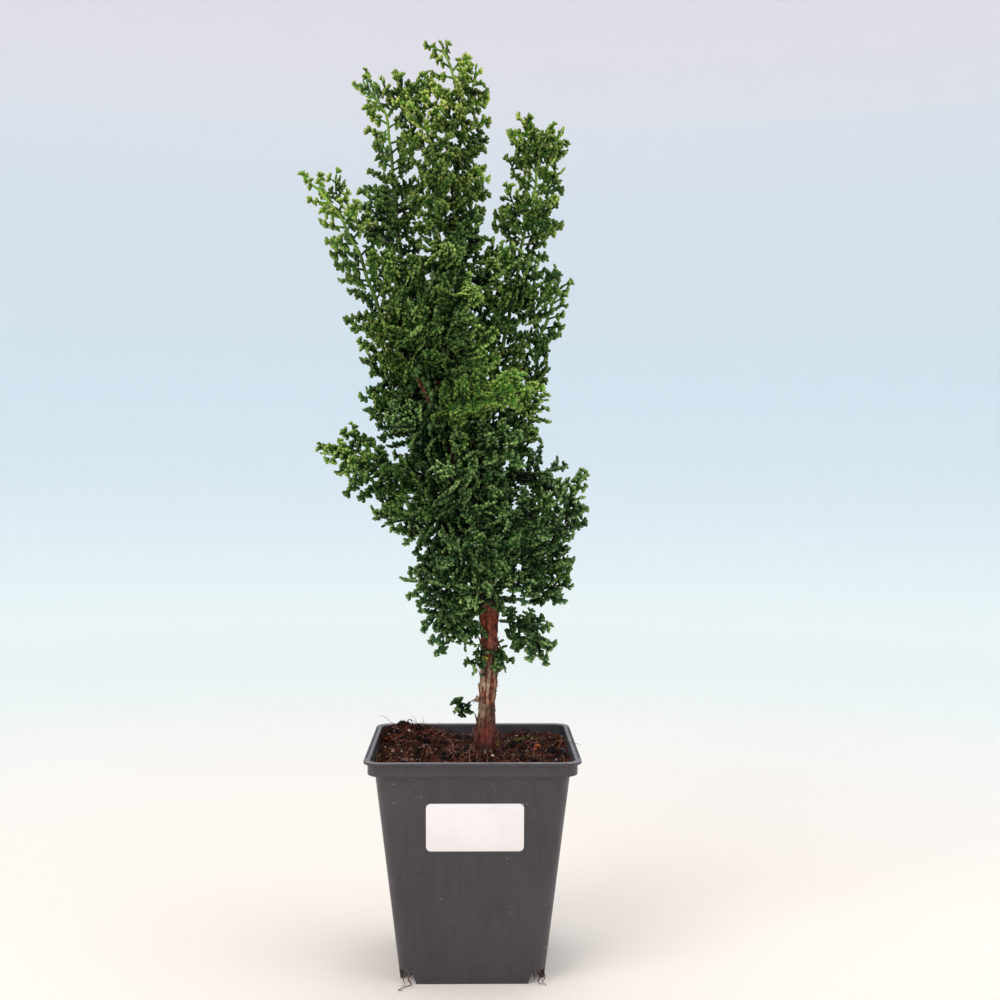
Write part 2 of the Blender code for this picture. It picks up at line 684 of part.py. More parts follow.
def crown_reach(height, azimuth):
    """How far the crown reaches from the trunk at a height, towards an azimuth."""
    middle = trunk_point(height).x
    left = middle - between([(row[0] * MM, row[1] * MM) for row in CROWN_OUTLINE], height)
    right = between([(row[0] * MM, row[2] * MM) for row in CROWN_OUTLINE], height) - middle
    depth = CROWN_DEPTH_SHARE * (left + right) / 2
    across = right if math.cos(azimuth) > 0 else left
    return 1 / math.hypot(math.cos(azimuth) / across, math.sin(azimuth) / depth)


def bush_route(number, turn, share):
    """Route of a side branch of the bushy part, from the trunk out to a share of the crown's outline."""
    level = number / (BUSH_BRANCHES - 1)
    height = BUSH_LOWEST + (BUSH_HIGHEST - BUSH_LOWEST) * level
    azimuth = BUSH_FIRST_AZIMUTH + number * GOLDEN_ANGLE + turn
    start = trunk_point(height)
    outwards = Vector((math.cos(azimuth), math.sin(azimuth), 0))
    reach = share * crown_reach(height + BUSH_LIFT, azimuth) - BUSH_SHORT * BUSH_SPRAY_LENGTH * MM
    climb = reach * (BUSH_RISE[0] + (BUSH_RISE[1] - BUSH_RISE[0]) * min(1, 2 * level))
    middle = start + outwards * reach * BUSH_BEND[0] + Vector((0, 0, climb * BUSH_BEND[1]))
    return start, middle, start + outwards * reach + Vector((0, 0, climb))


def settle(stem, routes, crowd):
    """Lays the stem on the first route where it is clear of the others, with as full a core as fits."""
    for core_share in CORE_SHARES:
        for route in routes:
            stem.set_route(route, core_share)
            if crowd.is_clear(stem.name, stem.core) and crowd.is_clear("trunk", stem.wood):
                crowd.add(stem.name, stem.core)
                crowd.add("trunk", stem.wood)
                return True
    return False


def plan_stems(crowd):
    """All the leafy stems in their places, still without sprays."""
    stems = []
    for name, (route, *details) in STEMS.items():
        stem = Leafy(name, *details)
        if settle(stem, [[Vector(corner) * MM for corner in route]], crowd):
            stems.append(stem)
    for number in range(BUSH_BRANCHES):
        routes = [bush_route(number, turn, share) for share in BUSH_SHARES for turn in BUSH_TURNS]
        colour = "leaf_mid" if routes[0][0].z > LEAF_MID_FROM else "leaf_dark"
        name = f"bush_{number + 1:02d}"
        stem = Leafy(name, BUSH_BARE_SHARE, BUSH_SPRAYS, BUSH_SPRAY_LENGTH, BUSH_CORE_RADIUS, colour)
        if settle(stem, routes, crowd):
            stems.append(stem)
    return stems


def best_spray(stem, number, crowd):
    """The first way to set a spray that is clear of the others, best of all also of the stem's own sprays."""
    crossing = None
    for root, aim, face, length in stem.spray_frames(number):
        outline = spray_outline(stem.lobes(length))
        met = crowd.met_by(blade(outline, root, aim, face, length, SPRAY_CLEARANCE))
        if all(owner == stem.name for owner in met):
            solid = blade(outline, root, aim, face, length)
            if len(met) <= 1:
                return solid
            crossing = crossing or solid
    return crossing


def grow_sprays(stems, crowd):
    """The sprays of all the stems, placed by turns from the tips inwards."""
    sprays = {stem.name: [] for stem in stems}
    for number in range(max(stem.sprays for stem in stems) + 1):
        for stem in stems:
            solid = best_spray(stem, number, crowd) if number <= stem.sprays else None
            if solid:
                sprays[stem.name].append(solid)
                crowd.add(stem.name, solid)
    return sprays


def solid_of(obj):
    """Points and faces of an object that has its place in its mesh."""
    mesh = obj.data
    return [vertex.co.copy() for vertex in mesh.vertices], [list(face.vertices) for face in mesh.polygons]


def make_tree(crowd):
    random.seed(SEED)
    route = trunk_line()
    bole = tube(route, [trunk_radius(point.z) for point in route], TRUNK_SIDES, BARK_RIDGE)
    crowd.add("trunk", bole)
    stems = plan_stems(crowd)
    sprays = grow_sprays(stems, crowd)
    trunk = new_object("trunk", *bole, "bark")
    boolean(trunk, "UNION", [new_object("wood", *stem.wood) for stem in stems], "MANIFOLD")
    for stem in stems:
        core = new_object(stem.name, *stem.core, stem.colour)
        boolean(core, "UNION", [new_object("spray", *solid) for solid in sprays[stem.name]], "MANIFOLD")
        keep_outer_shell(core)


def stand_on_origin():
    """Moves every piece so that the origin is under the middle of the whole."""
    bpy.context.view_layer.update()
    for obj in bpy.data.objects:
        obj.data.transform(obj.matrix_world)
        obj.matrix_world = Matrix.Identity(4)
    low, high = bounds_of([vertex.co for obj in bpy.data.objects for vertex in obj.data.vertices])
    middle = (low + high) / 2
    for obj in bpy.data.objects:
        obj.data.transform(Matrix.Translation((-middle.x, -middle.y, -low.z)))


def main():
    clear_scene()
    crowd = Crowd()
    crowd.add("pot", solid_of(make_pot()))
    crowd.add("soil", solid_of(make_soil()))
    make_label()
    make_tree(crowd)
    stand_on_origin()


main()
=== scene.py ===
# %% [markdown]
# # A hinoki cypress in its nursery pot
#
# This lesson dresses a plain model of a young hinoki cypress, about 40 cm tall, that grows in a square plastic
# pot. The plain model gives every piece its place and size. Here each piece gets its real surface: lobed sprays
# of scale leaves, peeling bark, peat with fibres in it, scuffed plastic and a bare paper label.
# The first cell loads the plain model, which stays fixed, so every new piece is measured from it.

# %% Load the frame
import json
import math
import random

import bmesh
import bpy
import numpy as np
from mathutils import Matrix, Vector, noise
from mathutils.bvhtree import BVHTree

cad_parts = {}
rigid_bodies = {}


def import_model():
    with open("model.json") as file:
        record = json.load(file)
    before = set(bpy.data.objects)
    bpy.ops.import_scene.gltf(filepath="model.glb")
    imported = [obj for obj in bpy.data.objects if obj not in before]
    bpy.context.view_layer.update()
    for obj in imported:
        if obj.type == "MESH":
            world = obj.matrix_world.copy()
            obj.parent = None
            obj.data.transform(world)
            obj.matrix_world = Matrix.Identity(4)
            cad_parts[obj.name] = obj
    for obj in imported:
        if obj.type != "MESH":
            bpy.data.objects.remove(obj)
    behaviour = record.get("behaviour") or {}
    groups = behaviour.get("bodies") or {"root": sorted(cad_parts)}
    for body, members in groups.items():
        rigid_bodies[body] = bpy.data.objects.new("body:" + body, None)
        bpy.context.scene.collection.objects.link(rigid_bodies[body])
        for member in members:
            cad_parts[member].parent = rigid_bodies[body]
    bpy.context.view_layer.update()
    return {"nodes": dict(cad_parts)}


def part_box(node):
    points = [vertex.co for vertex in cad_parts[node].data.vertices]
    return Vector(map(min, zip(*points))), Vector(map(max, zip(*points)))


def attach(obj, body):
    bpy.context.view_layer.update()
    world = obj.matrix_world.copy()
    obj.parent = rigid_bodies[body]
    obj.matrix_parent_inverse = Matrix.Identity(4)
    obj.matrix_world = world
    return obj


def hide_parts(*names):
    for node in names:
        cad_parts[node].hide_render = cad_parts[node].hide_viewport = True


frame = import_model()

MM = 0.001
GOLDEN_ANGLE = math.radians(137.5)
NOISE_SEED = 7
noise.seed_set(NOISE_SEED)  # without a seed, noise vectors start from the clock and differ in every run
pot_low, pot_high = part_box("pot")
HOME = Vector(((pot_low.x + pot_high.x) / 2, (pot_low.y + pot_high.y) / 2, 0))
print("nodes in the frame:", len(frame["nodes"]))
print("middle of the pot, in mm:", [round(value / MM, 2) for value in HOME])

# %% [markdown]
# ## The photographer's view
#
# The photograph was taken from in front of the tree, about 60 cm away and at half its height, with a slightly
# long lens. A camera could be aimed by eye, but the rim and the foot line of a square pot show exactly where it
# stood. Its place is given from the middle of the pot, and its turn as three small angles.

# %% Set up the camera
CAMERA_PLACE = Vector((0.475, -596.455, 213.834)) * MM
CAMERA_YAW = math.radians(1.073)
CAMERA_PITCH = math.radians(1.1)
CAMERA_ROLL = math.radians(0.161)
LENS = 48.974
SENSOR = 36

camera = bpy.data.objects.new("camera", bpy.data.cameras.new("camera"))
camera.data.lens = LENS
camera.data.sensor_width = SENSOR
camera.data.clip_start = 0.01
camera.matrix_world = (
    Matrix.Translation(HOME + CAMERA_PLACE)
    @ Matrix.Rotation(-CAMERA_YAW, 4, "Z")
    @ Matrix.Rotation(math.pi / 2 - CAMERA_PITCH, 4, "X")
    @ Matrix.Rotation(CAMERA_ROLL, 4, "Z")
)
bpy.context.scene.collection.objects.link(camera)
bpy.context.scene.camera = camera
print("camera at, in mm:", [round(value / MM, 1) for value in camera.location])

# %% [markdown]
# ## Helpers for node trees
#
# Both the shapes that repeat and the materials are node trees, and a tree built in a script soon gets long. A few
# small helpers keep it readable. One adds a node and wires it up in a single call: a value that is itself a socket
# is linked, and any other value is typed in. The others are short forms for arithmetic with numbers and vectors.

# %% Helpers for node trees
def put(tree, socket, value):
    """Links a socket to another one, or types a value in."""
    if isinstance(value, bpy.types.NodeSocket):
        tree.links.new(value, socket)
    else:
        socket.default_value = value


def node(tree, kind, wires=None, **settings):
    """Adds a node, changes its settings and wires its inputs, which are named or numbered."""
    made = tree.nodes.new(kind)
    for name, value in settings.items():
        setattr(made, name, value)
    for name, value in (wires or {}).items():
        put(tree, made.inputs[name], value)
    return made


def maths(tree, operation, *values, **settings):
    """A number worked out from one to three others."""
    made = node(tree, "ShaderNodeMath", dict(enumerate(values)), operation=operation, **settings)
    return made.outputs[0]


def times(tree, first, second, **settings):
    return maths(tree, "MULTIPLY", first, second, **settings)


def plus(tree, first, second):
    return maths(tree, "ADD", first, second)


def scaled(tree, value, factor, start):
    """A number times a factor, added to a start."""
    return maths(tree, "MULTIPLY_ADD", value, factor, start)


def vectors(tree, operation, *values):
    """A vector worked out from one or two others."""
    if operation == "SCALE":
        made = node(tree, "ShaderNodeVectorMath", {0: values[0], "Scale": values[1]}, operation=operation)
    else:
        made = node(tree, "ShaderNodeVectorMath", dict(enumerate(values)), operation=operation)
    return made.outputs[0]


def from_parts(tree, x, y, z):
    return node(tree, "ShaderNodeCombineXYZ", {0: x, 1: y, 2: z}).outputs[0]


def upward_part(tree, vector):
    return node(tree, "ShaderNodeSeparateXYZ", {0: vector}).outputs[2]


def spread(tree, value, low, high, new_low, new_high, smooth=True):
    """Turns a range of numbers into another range, and stops at its ends."""
    wires = {"Value": value, "From Min": low, "From Max": high, "To Min": new_low, "To Max": new_high}
    kind = "SMOOTHSTEP" if smooth else "LINEAR"
    return node(tree, "ShaderNodeMapRange", wires, interpolation_type=kind).outputs[0]


def new_group(name, kind, inputs, outputs):
    """An empty node group with its sockets. Each input is a name, a socket type and a value, or no value."""
    tree = bpy.data.node_groups.new(name, kind)
    for label, socket_type, value in inputs:
        socket = tree.interface.new_socket(label, in_out="INPUT", socket_type=socket_type)
        if value is not None:
            socket.default_value = value
    for label, socket_type in outputs:
        tree.interface.new_socket(label, in_out="OUTPUT", socket_type=socket_type)
    return tree, tree.nodes.new("NodeGroupInput").outputs, tree.nodes.new("NodeGroupOutput").inputs


NUMBER, COUNT, PAINT, ARROW = "NodeSocketFloat", "NodeSocketInt", "NodeSocketColor", "NodeSocketVector"
SHAPE, SET, FINISH = "NodeSocketGeometry", "NodeSocketCollection", "NodeSocketMaterial"

# %% [markdown]
# ## Helpers for pieces
#
# A piece is a mesh object that sits at the origin, with its place in its mesh. It comes from lists of points and
# faces, from a shape built face by face, or from a copy of a plain node. A node tree or another modifier may then
# change it, and the result is kept as a plain mesh. A finished piece is listed with the plain nodes it replaces.

# %% Helpers for pieces
def new_piece(name, points, faces=(), edges=(), finish=None):
    """A mesh object at the origin, with its place in its mesh."""
    mesh = bpy.data.meshes.new(name)
    mesh.from_pydata([tuple(point) for point in points], list(edges), list(faces))
    piece = bpy.data.objects.new(name, mesh)
    bpy.context.scene.collection.objects.link(piece)
    if finish:
        mesh.materials.append(finish)
    return piece


def take_shape(piece, shape):
    """Gives a piece the faces of a shape, turned outwards."""
    bmesh.ops.recalc_face_normals(shape, faces=shape.faces)
    shape.to_mesh(piece.data)
    shape.free()
    return piece


def face_outwards(piece):
    shape = bmesh.new()
    shape.from_mesh(piece.data)
    return take_shape(piece, shape)


def mark(piece, name, values):
    """Stores a number for each point of a piece, which a tree or a finish reads by its name."""
    piece.data.attributes.new(name, "FLOAT", "POINT").data.foreach_set("value", values)


def settle(piece):
    """Keeps what a piece's modifiers make of it as its plain mesh, and removes them."""
    graph = bpy.context.evaluated_depsgraph_get()
    result = bpy.data.meshes.new_from_object(piece.evaluated_get(graph))
    piece.modifiers.clear()
    old, piece.data = piece.data, result
    bpy.data.meshes.remove(old)


def grow(piece, tree, values):
    """Runs a geometry node tree on a piece."""
    modifier = piece.modifiers.new(tree.name, "NODES")
    modifier.node_group = tree
    for item in tree.interface.items_tree:
        if item.in_out == "INPUT" and item.name in values:
            modifier[item.identifier] = values[item.name]
    settle(piece)


def solid_copy(cad_node):
    """The mesh of a CAD node with its loose triangles joined."""
    shape = bmesh.new()
    shape.from_mesh(frame["nodes"][cad_node].data)
    bmesh.ops.remove_doubles(shape, verts=shape.verts, dist=0.005 * MM)
    return shape


pieces = []


def keep(piece, slot, *replaced):
    """Makes a finished piece part of the object, in place of the CAD nodes that it stands for."""
    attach(piece, "root")
    if replaced:
        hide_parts(*replaced)
    pieces.append(piece)
    piece.data.calc_loop_triangles()
    print(f"{piece.name}: {len(piece.data.loop_triangles)} triangles")

# %% [markdown]
# ## Colours, and effects that several finishes share
#
# A colour is easiest to read as a paint program gives it, so one helper turns such numbers into the linear ones
# that Blender works with. Four effects appear in more than one finish: soft patches, long fibres, dust with a pale
# film on faces that point up, which is partly a painted highlight, and scratches. Each could be drawn again in
# every material, but as a node group it is built once, and each material sets its own sizes. These groups only
# put out masks and heights. The shader itself stays in the material.

# %% Helpers for materials
def paint(red, green, blue):
    """A colour from 0 to 255 in each channel, as linear light."""
    def linear(value):
        value /= 255
        return value / 12.92 if value <= 0.04045 else ((value + 0.055) / 1.055) ** 2.4
    return (linear(red), linear(green), linear(blue), 1)


def blend(tree, factor, first, second, kind="MIX"):
    wires = {0: factor, 6: first, 7: second}
    return node(tree, "ShaderNodeMix", wires, data_type="RGBA", blend_type=kind).outputs[2]


def speckle(tree, place, scale, detail=3.0, roughness=0.55):
    wires = {"Vector": place, "Scale": scale, "Detail": detail, "Roughness": roughness}
    return node(tree, "ShaderNodeTexNoise", wires).outputs[0]


def attribute(tree, name, output="Fac"):
    return node(tree, "ShaderNodeAttribute", attribute_name=name).outputs[output]


def object_place(tree):
    return node(tree, "ShaderNodeTexCoord").outputs["Object"]


def bump(tree, height, strength, distance):
    wires = {"Strength": strength, "Distance": distance, "Height": height}
    return node(tree, "ShaderNodeBump", wires).outputs[0]


def use(tree, group, **wires):
    """Places an effect in a material and sets its inputs. An underscore in a name stands for a space."""
    made = tree.nodes.new("ShaderNodeGroup")
    made.node_tree = group
    for name, value in wires.items():
        put(tree, made.inputs[name.replace("_", " ")], value)
    return made.outputs


def new_material(name):
    """A material with its node tree, and the inputs of its one Principled shader."""
    material = bpy.data.materials.new(name)
    material.use_nodes = True
    shader = next(item for item in material.node_tree.nodes if item.type == "BSDF_PRINCIPLED")
    return material, material.node_tree, shader.inputs


print("mid grey in linear light:", [round(part, 3) for part in paint(128, 128, 128)[:3]])

# %% Build the shared effects
PLACE = ("Place", ARROW, None)

patches, given, result = new_group(
    "patches", "ShaderNodeTree", [PLACE, ("Scale", NUMBER, 40.0), ("Sharpness", NUMBER, 0.5)], [("Mask", NUMBER)])
t = patches
cloud = speckle(t, given["Place"], given["Scale"], 4.0, 0.6)
edge = scaled(t, given["Sharpness"], -0.24, 0.26)
low, high = maths(t, "SUBTRACT", 0.5, edge), plus(t, 0.5, edge)
put(t, result["Mask"], spread(t, cloud, low, high, 0.0, 1.0))

fibres, given, result = new_group(
    "fibres", "ShaderNodeTree",
    [PLACE, ("Across", NUMBER, 900.0), ("Along", NUMBER, 90.0)], [("Mask", NUMBER), ("Height", NUMBER)])
t = fibres
stretch = from_parts(t, given["Across"], given["Across"], given["Along"])
stretched = vectors(t, "MULTIPLY", given["Place"], stretch)
strands = speckle(t, stretched, 1.0, 3.0, 0.6)
put(t, result["Mask"], spread(t, strands, 0.36, 0.64, 0.0, 1.0))
put(t, result["Height"], strands)

dust_and_sheen, given, result = new_group(
    "dust_and_sheen", "ShaderNodeTree",
    [PLACE, ("Speck scale", NUMBER, 700.0), ("Film", NUMBER, 0.3)], [("Specks", NUMBER), ("Film", NUMBER)])
t = dust_and_sheen
cells = node(t, "ShaderNodeTexVoronoi", {"Vector": given["Place"], "Scale": given["Speck scale"]})
near = spread(t, cells.outputs["Distance"], 0.1, 0.2, 1.0, 0.0)
chosen = node(t, "ShaderNodeSeparateColor", {0: cells.outputs["Color"]}).outputs[0]
put(t, result["Specks"], times(t, near, maths(t, "GREATER_THAN", chosen, 0.975)))
# Faces that point up get a pale film: partly settled dust and partly a painted highlight.
upward = upward_part(t, node(t, "ShaderNodeNewGeometry").outputs["Normal"])
facing_up = spread(t, upward, 0.35, 1.0, 0.0, 1.0)
film_and_sheen = times(t, facing_up, speckle(t, given["Place"], 220.0, 4.0, 0.7))
put(t, result["Film"], times(t, film_and_sheen, given["Film"]))

scratches, given, result = new_group(
    "scratches", "ShaderNodeTree",
    [PLACE, ("Scale", NUMBER, 60.0), ("Slant", ARROW, (0, 0, 0)), ("Amount", NUMBER, 0.5)], [("Mask", NUMBER)])
t = scratches
slanted = node(t, "ShaderNodeVectorRotate", {"Vector": given["Place"], "Rotation": given["Slant"]},
               rotation_type="EULER_XYZ").outputs[0]
squeezed = vectors(t, "MULTIPLY", slanted, (1.0, 1.0, 0.04))
level = maths(t, "ABSOLUTE", maths(t, "SUBTRACT", speckle(t, squeezed, given["Scale"], 1.0), 0.5))
hair = spread(t, level, 0.002, 0.007, 1.0, 0.0)
broken = spread(t, speckle(t, given["Place"], 60.0), 0.6, 0.68, 0.0, 1.0)
put(t, result["Mask"], times(t, times(t, hair, broken), given["Amount"]))
print("shared effects:", [group.name for group in (patches, fibres, dust_and_sheen, scratches)])


def soft_patches(tree, place, scale, sharpness):
    return use(tree, patches, Place=place, Scale=scale, Sharpness=sharpness)["Mask"]

# %% [markdown]
# ## Helpers for geometry trees
#
# The trees that make shapes share some steps: a random number, a value stored under a name and read back later,
# a tube round a curve, and a direction that opens from one axis towards another. They also set copies of a few
# shapes on points, and each ends in the same way: the copies become real faces and get their finish.

# %% Helpers for geometry trees
def random_number(tree, low, high, seed, draw=0):
    """A number drawn for each point. Another draw from the same seed has a number of its own."""
    wires = {2: low, 3: high, "Seed": plus(tree, seed, draw)}
    return node(tree, "FunctionNodeRandomValue", wires, data_type="FLOAT").outputs[1]


def store(tree, shape, name, value, kind="FLOAT", domain="POINT"):
    wires = {"Geometry": shape, "Name": name, "Value": value}
    return node(tree, "GeometryNodeStoreNamedAttribute", wires, data_type=kind, domain=domain).outputs[0]


def recall(tree, name, kind="FLOAT"):
    return node(tree, "GeometryNodeInputNamedAttribute", {"Name": name}, data_type=kind).outputs["Attribute"]


def tube(tree, curve, radius, sides):
    """A closed tube round a curve, whose radius may change along it."""
    ring = node(tree, "GeometryNodeCurvePrimitiveCircle", {"Resolution": sides, "Radius": 1.0}).outputs[0]
    wires = {"Curve": curve, "Profile Curve": ring, "Scale": radius, "Fill Caps": True}
    return node(tree, "GeometryNodeCurveToMesh", wires).outputs[0]


def turned(tree, vector, axis, angle):
    wires = {"Vector": vector, "Axis": axis, "Angle": angle}
    return node(tree, "ShaderNodeVectorRotate", wires, rotation_type="AXIS_ANGLE").outputs[0]


def aimed(tree, ahead, aside, angle):
    """A direction between two others at right angles: the first one, opened towards the second."""
    forward = vectors(tree, "SCALE", ahead, maths(tree, "COSINE", angle))
    sideways = vectors(tree, "SCALE", aside, maths(tree, "SINE", angle))
    return vectors(tree, "ADD", forward, sideways)


def facing(tree, axes, first, second):
    """The turn that points a copy's first axis one way, and its second axis as near as it can to another."""
    wires = {"Primary Axis": first, "Secondary Axis": second}
    return node(tree, "FunctionNodeAxesToRotation", wires, primary_axis=axes[0], secondary_axis=axes[1]).outputs[0]


def picked_copies(tree, points, shapes, last, seed, wires):
    """Sets one of a collection's shapes on each point, picked at random from the first to the last."""
    kinds = {"Collection": shapes, "Separate Children": True, "Reset Children": True}
    kinds = node(tree, "GeometryNodeCollectionInfo", kinds).outputs[0]
    pick = node(tree, "FunctionNodeRandomValue", {4: 0, 5: last, "Seed": seed}, data_type="INT").outputs[2]
    wires = {"Points": points, "Instance": kinds, "Pick Instance": True, "Instance Index": pick, **wires}
    return node(tree, "GeometryNodeInstanceOnPoints", wires).outputs[0]


def finished(tree, shape, finish, smooth=False):
    """The end of a tree: copies become real faces and get their finish."""
    shape = node(tree, "GeometryNodeRealizeInstances", {"Geometry": shape}).outputs[0]
    if smooth:
        shape = node(tree, "GeometryNodeSetShadeSmooth", {"Geometry": shape, "Shade Smooth": True}).outputs[0]
    return node(tree, "GeometryNodeSetMaterial", {"Geometry": shape, "Material": finish}).outputs[0]

# %% [markdown]
# ## The nursery pot
#
# The pot is blown from thin dark-grey plastic: a square with soft corners that widens upwards, a stepped lip with
# a rolled rim, a floor set a little above the foot line, and low feet between open corners. A box with bevels
# couldn't have the sloping walls and the changing corners. So rounded squares are stacked from under the floor, up
# the outside, over the rim and down the inside. Where the wall turns sharply the profile is rounded first, because
# moulded plastic has no knife edges.

# %% Draw the pot's profile
POT_HEIGHT = 96 * MM
RIM_WIDTH = 90 * MM
LIP_WIDTH = 86.8 * MM
LIP_DEPTH = 6.2 * MM
RIM_THICKNESS = 1.3 * MM
BODY_TOP_WIDTH = 81 * MM
BODY_BASE_WIDTH = 60.7 * MM
WALL = 1.1 * MM
FLOOR_UNDERSIDE = 6.4 * MM
FLOOR_THICKNESS = 1.2 * MM
RIM_CORNER = 7 * MM
BODY_CORNER = 6.5 * MM
CORNER_STEPS = 10
SIDE_STEPS = 12
LIP_BOTTOM = POT_HEIGHT - LIP_DEPTH


def body_half(height):
    """Half the pot's outer width at a height on its sloping wall."""
    return (BODY_BASE_WIDTH + (BODY_TOP_WIDTH - BODY_BASE_WIDTH) * height / LIP_BOTTOM) / 2


def rounded_square(half, corner, height):
    """A level ring round a square with round corners, with points along its straight sides too."""
    ring = []
    for quarter in range(4):
        turn = Matrix.Rotation(quarter * math.pi / 2, 3, "Z")
        for step in range(CORNER_STEPS + 1):
            angle = math.pi / 2 * step / CORNER_STEPS
            reach = Vector((corner * math.cos(angle), corner * math.sin(angle), 0))
            ring.append(HOME + turn @ (Vector((half - corner, half - corner, height)) + reach))
        for number in range(SIDE_STEPS):
            along = (half - corner) * (1 - 2 * (number + 1) / (SIDE_STEPS + 1))
            ring.append(HOME + turn @ Vector((along, half, height)))
    return ring


def rounded_profile(rows, steps=3):
    """Rounds each row of half width, corner radius, height and edge radius that has an edge radius."""
    rounded = []
    for number, (half, corner, height, edge) in enumerate(rows):
        here = Vector((half, height, corner))
        if edge == 0 or number in (0, len(rows) - 1):
            rounded.append(here)
            continue
        ends = []
        for other in (rows[number - 1], rows[number + 1]):
            there = Vector((other[0], other[2], other[1]))
            gap = there - here
            ends.append(here + gap * min(0.45, edge / max(gap.xy.length, 1e-9)))
        for step in range(steps + 1):
            share = step / steps
            rounded.append(ends[0].lerp(here, share).lerp(here.lerp(ends[1], share), share))
    return rounded


inner_corner = BODY_CORNER - WALL
floor_top = FLOOR_UNDERSIDE + FLOOR_THICKNESS
pot_rows = [
    (body_half(FLOOR_UNDERSIDE) - WALL, inner_corner, FLOOR_UNDERSIDE, 0),
    (body_half(0) - WALL, inner_corner, 0, 0.25 * MM),
    (body_half(0), BODY_CORNER, 0, 0.4 * MM),
    (body_half(LIP_BOTTOM), BODY_CORNER, LIP_BOTTOM, 0.7 * MM),
    (LIP_WIDTH / 2, RIM_CORNER - WALL / 2, LIP_BOTTOM, 0.7 * MM),
    (LIP_WIDTH / 2, RIM_CORNER - WALL / 2, POT_HEIGHT - RIM_THICKNESS, 0.4 * MM),
    (RIM_WIDTH / 2, RIM_CORNER, POT_HEIGHT - RIM_THICKNESS, 0.4 * MM),
    (RIM_WIDTH / 2, RIM_CORNER, POT_HEIGHT, 0.5 * MM),
    (LIP_WIDTH / 2 - WALL, inner_corner, POT_HEIGHT, 0.7 * MM),
    (LIP_WIDTH / 2 - WALL, inner_corner, LIP_BOTTOM + WALL, 0.8 * MM),
    (body_half(LIP_BOTTOM) - WALL, inner_corner, LIP_BOTTOM + WALL, 0.6 * MM),
    (body_half(floor_top) - WALL, inner_corner, floor_top, 0),
]
profile = rounded_profile(pot_rows)
print("rings in the pot's profile:", len(profile))

# %% Stack the pot's rings, cut its corners and drain its floor
NOTCH_HEIGHT = 5.6 * MM
FOOT_HALF_AT_TOP = 25.2 * MM
FOOT_HALF_AT_BASE = 23.3 * MM
DRAIN_RADIUS = 3.8 * MM
DRAIN_OFFSET = 19 * MM
DRAIN_SIDES = 32


def stack(name, rings, finish=None):
    """A closed mesh through equal rings, with its two ends filled."""
    count = len(rings[0])
    points = [point for ring in rings for point in ring]
    faces = [tuple(range(count))[::-1], tuple(range(len(points) - count, len(points)))]
    for low in range(0, len(points) - count, count):
        for number in range(count):
            after = (number + 1) % count
            faces.append((low + number, low + after, low + count + after, low + count + number))
    return face_outwards(new_piece(name, points, faces, finish=finish))


def corner_notch(quarter):
    turn = Matrix.Rotation(quarter * math.pi / 2, 3, "Z")
    outside = BODY_BASE_WIDTH
    slope = FOOT_HALF_AT_TOP - FOOT_HALF_AT_BASE
    rings = []
    for height, inside in ((-NOTCH_HEIGHT, FOOT_HALF_AT_BASE - slope), (NOTCH_HEIGHT, FOOT_HALF_AT_TOP)):
        square = ((inside, inside), (outside, inside), (outside, outside), (inside, outside))
        rings.append([HOME + turn @ Vector((x, y, height)) for x, y in square])
    return stack("notch", rings)


def drain_hole(x, y):
    rings = []
    for height in (FLOOR_UNDERSIDE - WALL, floor_top + WALL):
        ring = []
        for side in range(DRAIN_SIDES):
            angle = 2 * math.pi * side / DRAIN_SIDES
            right, back = DRAIN_RADIUS * math.cos(angle), DRAIN_RADIUS * math.sin(angle)
            ring.append(HOME + Vector((x + right, y + back, height)))
        rings.append(ring)
    return stack("drain", rings)


def cut(piece, cutters):
    """Takes the cutters out of a piece and removes them."""
    tools = bpy.data.collections.new("cutters")
    for cutter in cutters:
        tools.objects.link(cutter)
    modifier = piece.modifiers.new("cut", "BOOLEAN")
    modifier.operand_type = "COLLECTION"
    modifier.collection = tools
    modifier.solver = "EXACT"
    settle(piece)
    for cutter in cutters:
        bpy.data.objects.remove(cutter)
    bpy.data.collections.remove(tools)


def smooth_by_angle(piece, angle):
    """Smooth shading that stops at edges sharper than the angle."""
    piece.data.shade_smooth()
    piece.data.set_sharp_from_angle(angle=angle)


pot = stack("pot_shell", [rounded_square(row.x, row.z, row.y) for row in profile])
holes = [drain_hole(0, 0)] + [drain_hole(x, y) for x in (-DRAIN_OFFSET, DRAIN_OFFSET)
                              for y in (-DRAIN_OFFSET, DRAIN_OFFSET)]
cut(pot, [corner_notch(quarter) for quarter in range(4)] + holes)
smooth_by_angle(pot, math.radians(35))
print("pot faces:", len(pot.data.polygons))

# %% [markdown]
# ### Finish of the plastic
#
# Recycled plastic is never one grey. It is a little patchy and warmer in places, with faint streaks that run down
# the wall where it was drawn out of the mould, a satin shine, dust specks, a pale film where it faces up that is
# partly dust and partly a painted highlight on the rim, and pale scratches from handling. The streaks also change
# the roughness and the relief, and the scratches the relief.

# %% Finish the pot
pot_plastic, t, shader = new_material("pot_plastic")
place = object_place(t)
clouds = soft_patches(t, place, 24.0, 0.1)
fine = soft_patches(t, place, 260.0, 0.3)
streaks = use(t, fibres, Place=place, Across=420.0, Along=9.0)
dust_and_highlight = use(t, dust_and_sheen, Place=place, Speck_scale=620.0, Film=1.0)
left = use(t, scratches, Place=place, Scale=160.0, Slant=(0.1, 0.25, 0.2), Amount=0.5)["Mask"]
right = use(t, scratches, Place=place, Scale=210.0, Slant=(-0.3, -0.8, 0.9), Amount=0.35)["Mask"]
worn = maths(t, "MAXIMUM", left, right)
colour = blend(t, clouds, paint(49, 45, 48), paint(60, 56, 60))
colour = blend(t, times(t, streaks["Mask"], 0.35), colour, paint(71, 66, 71))
colour = blend(t, times(t, fine, 0.16), colour, paint(42, 39, 40))
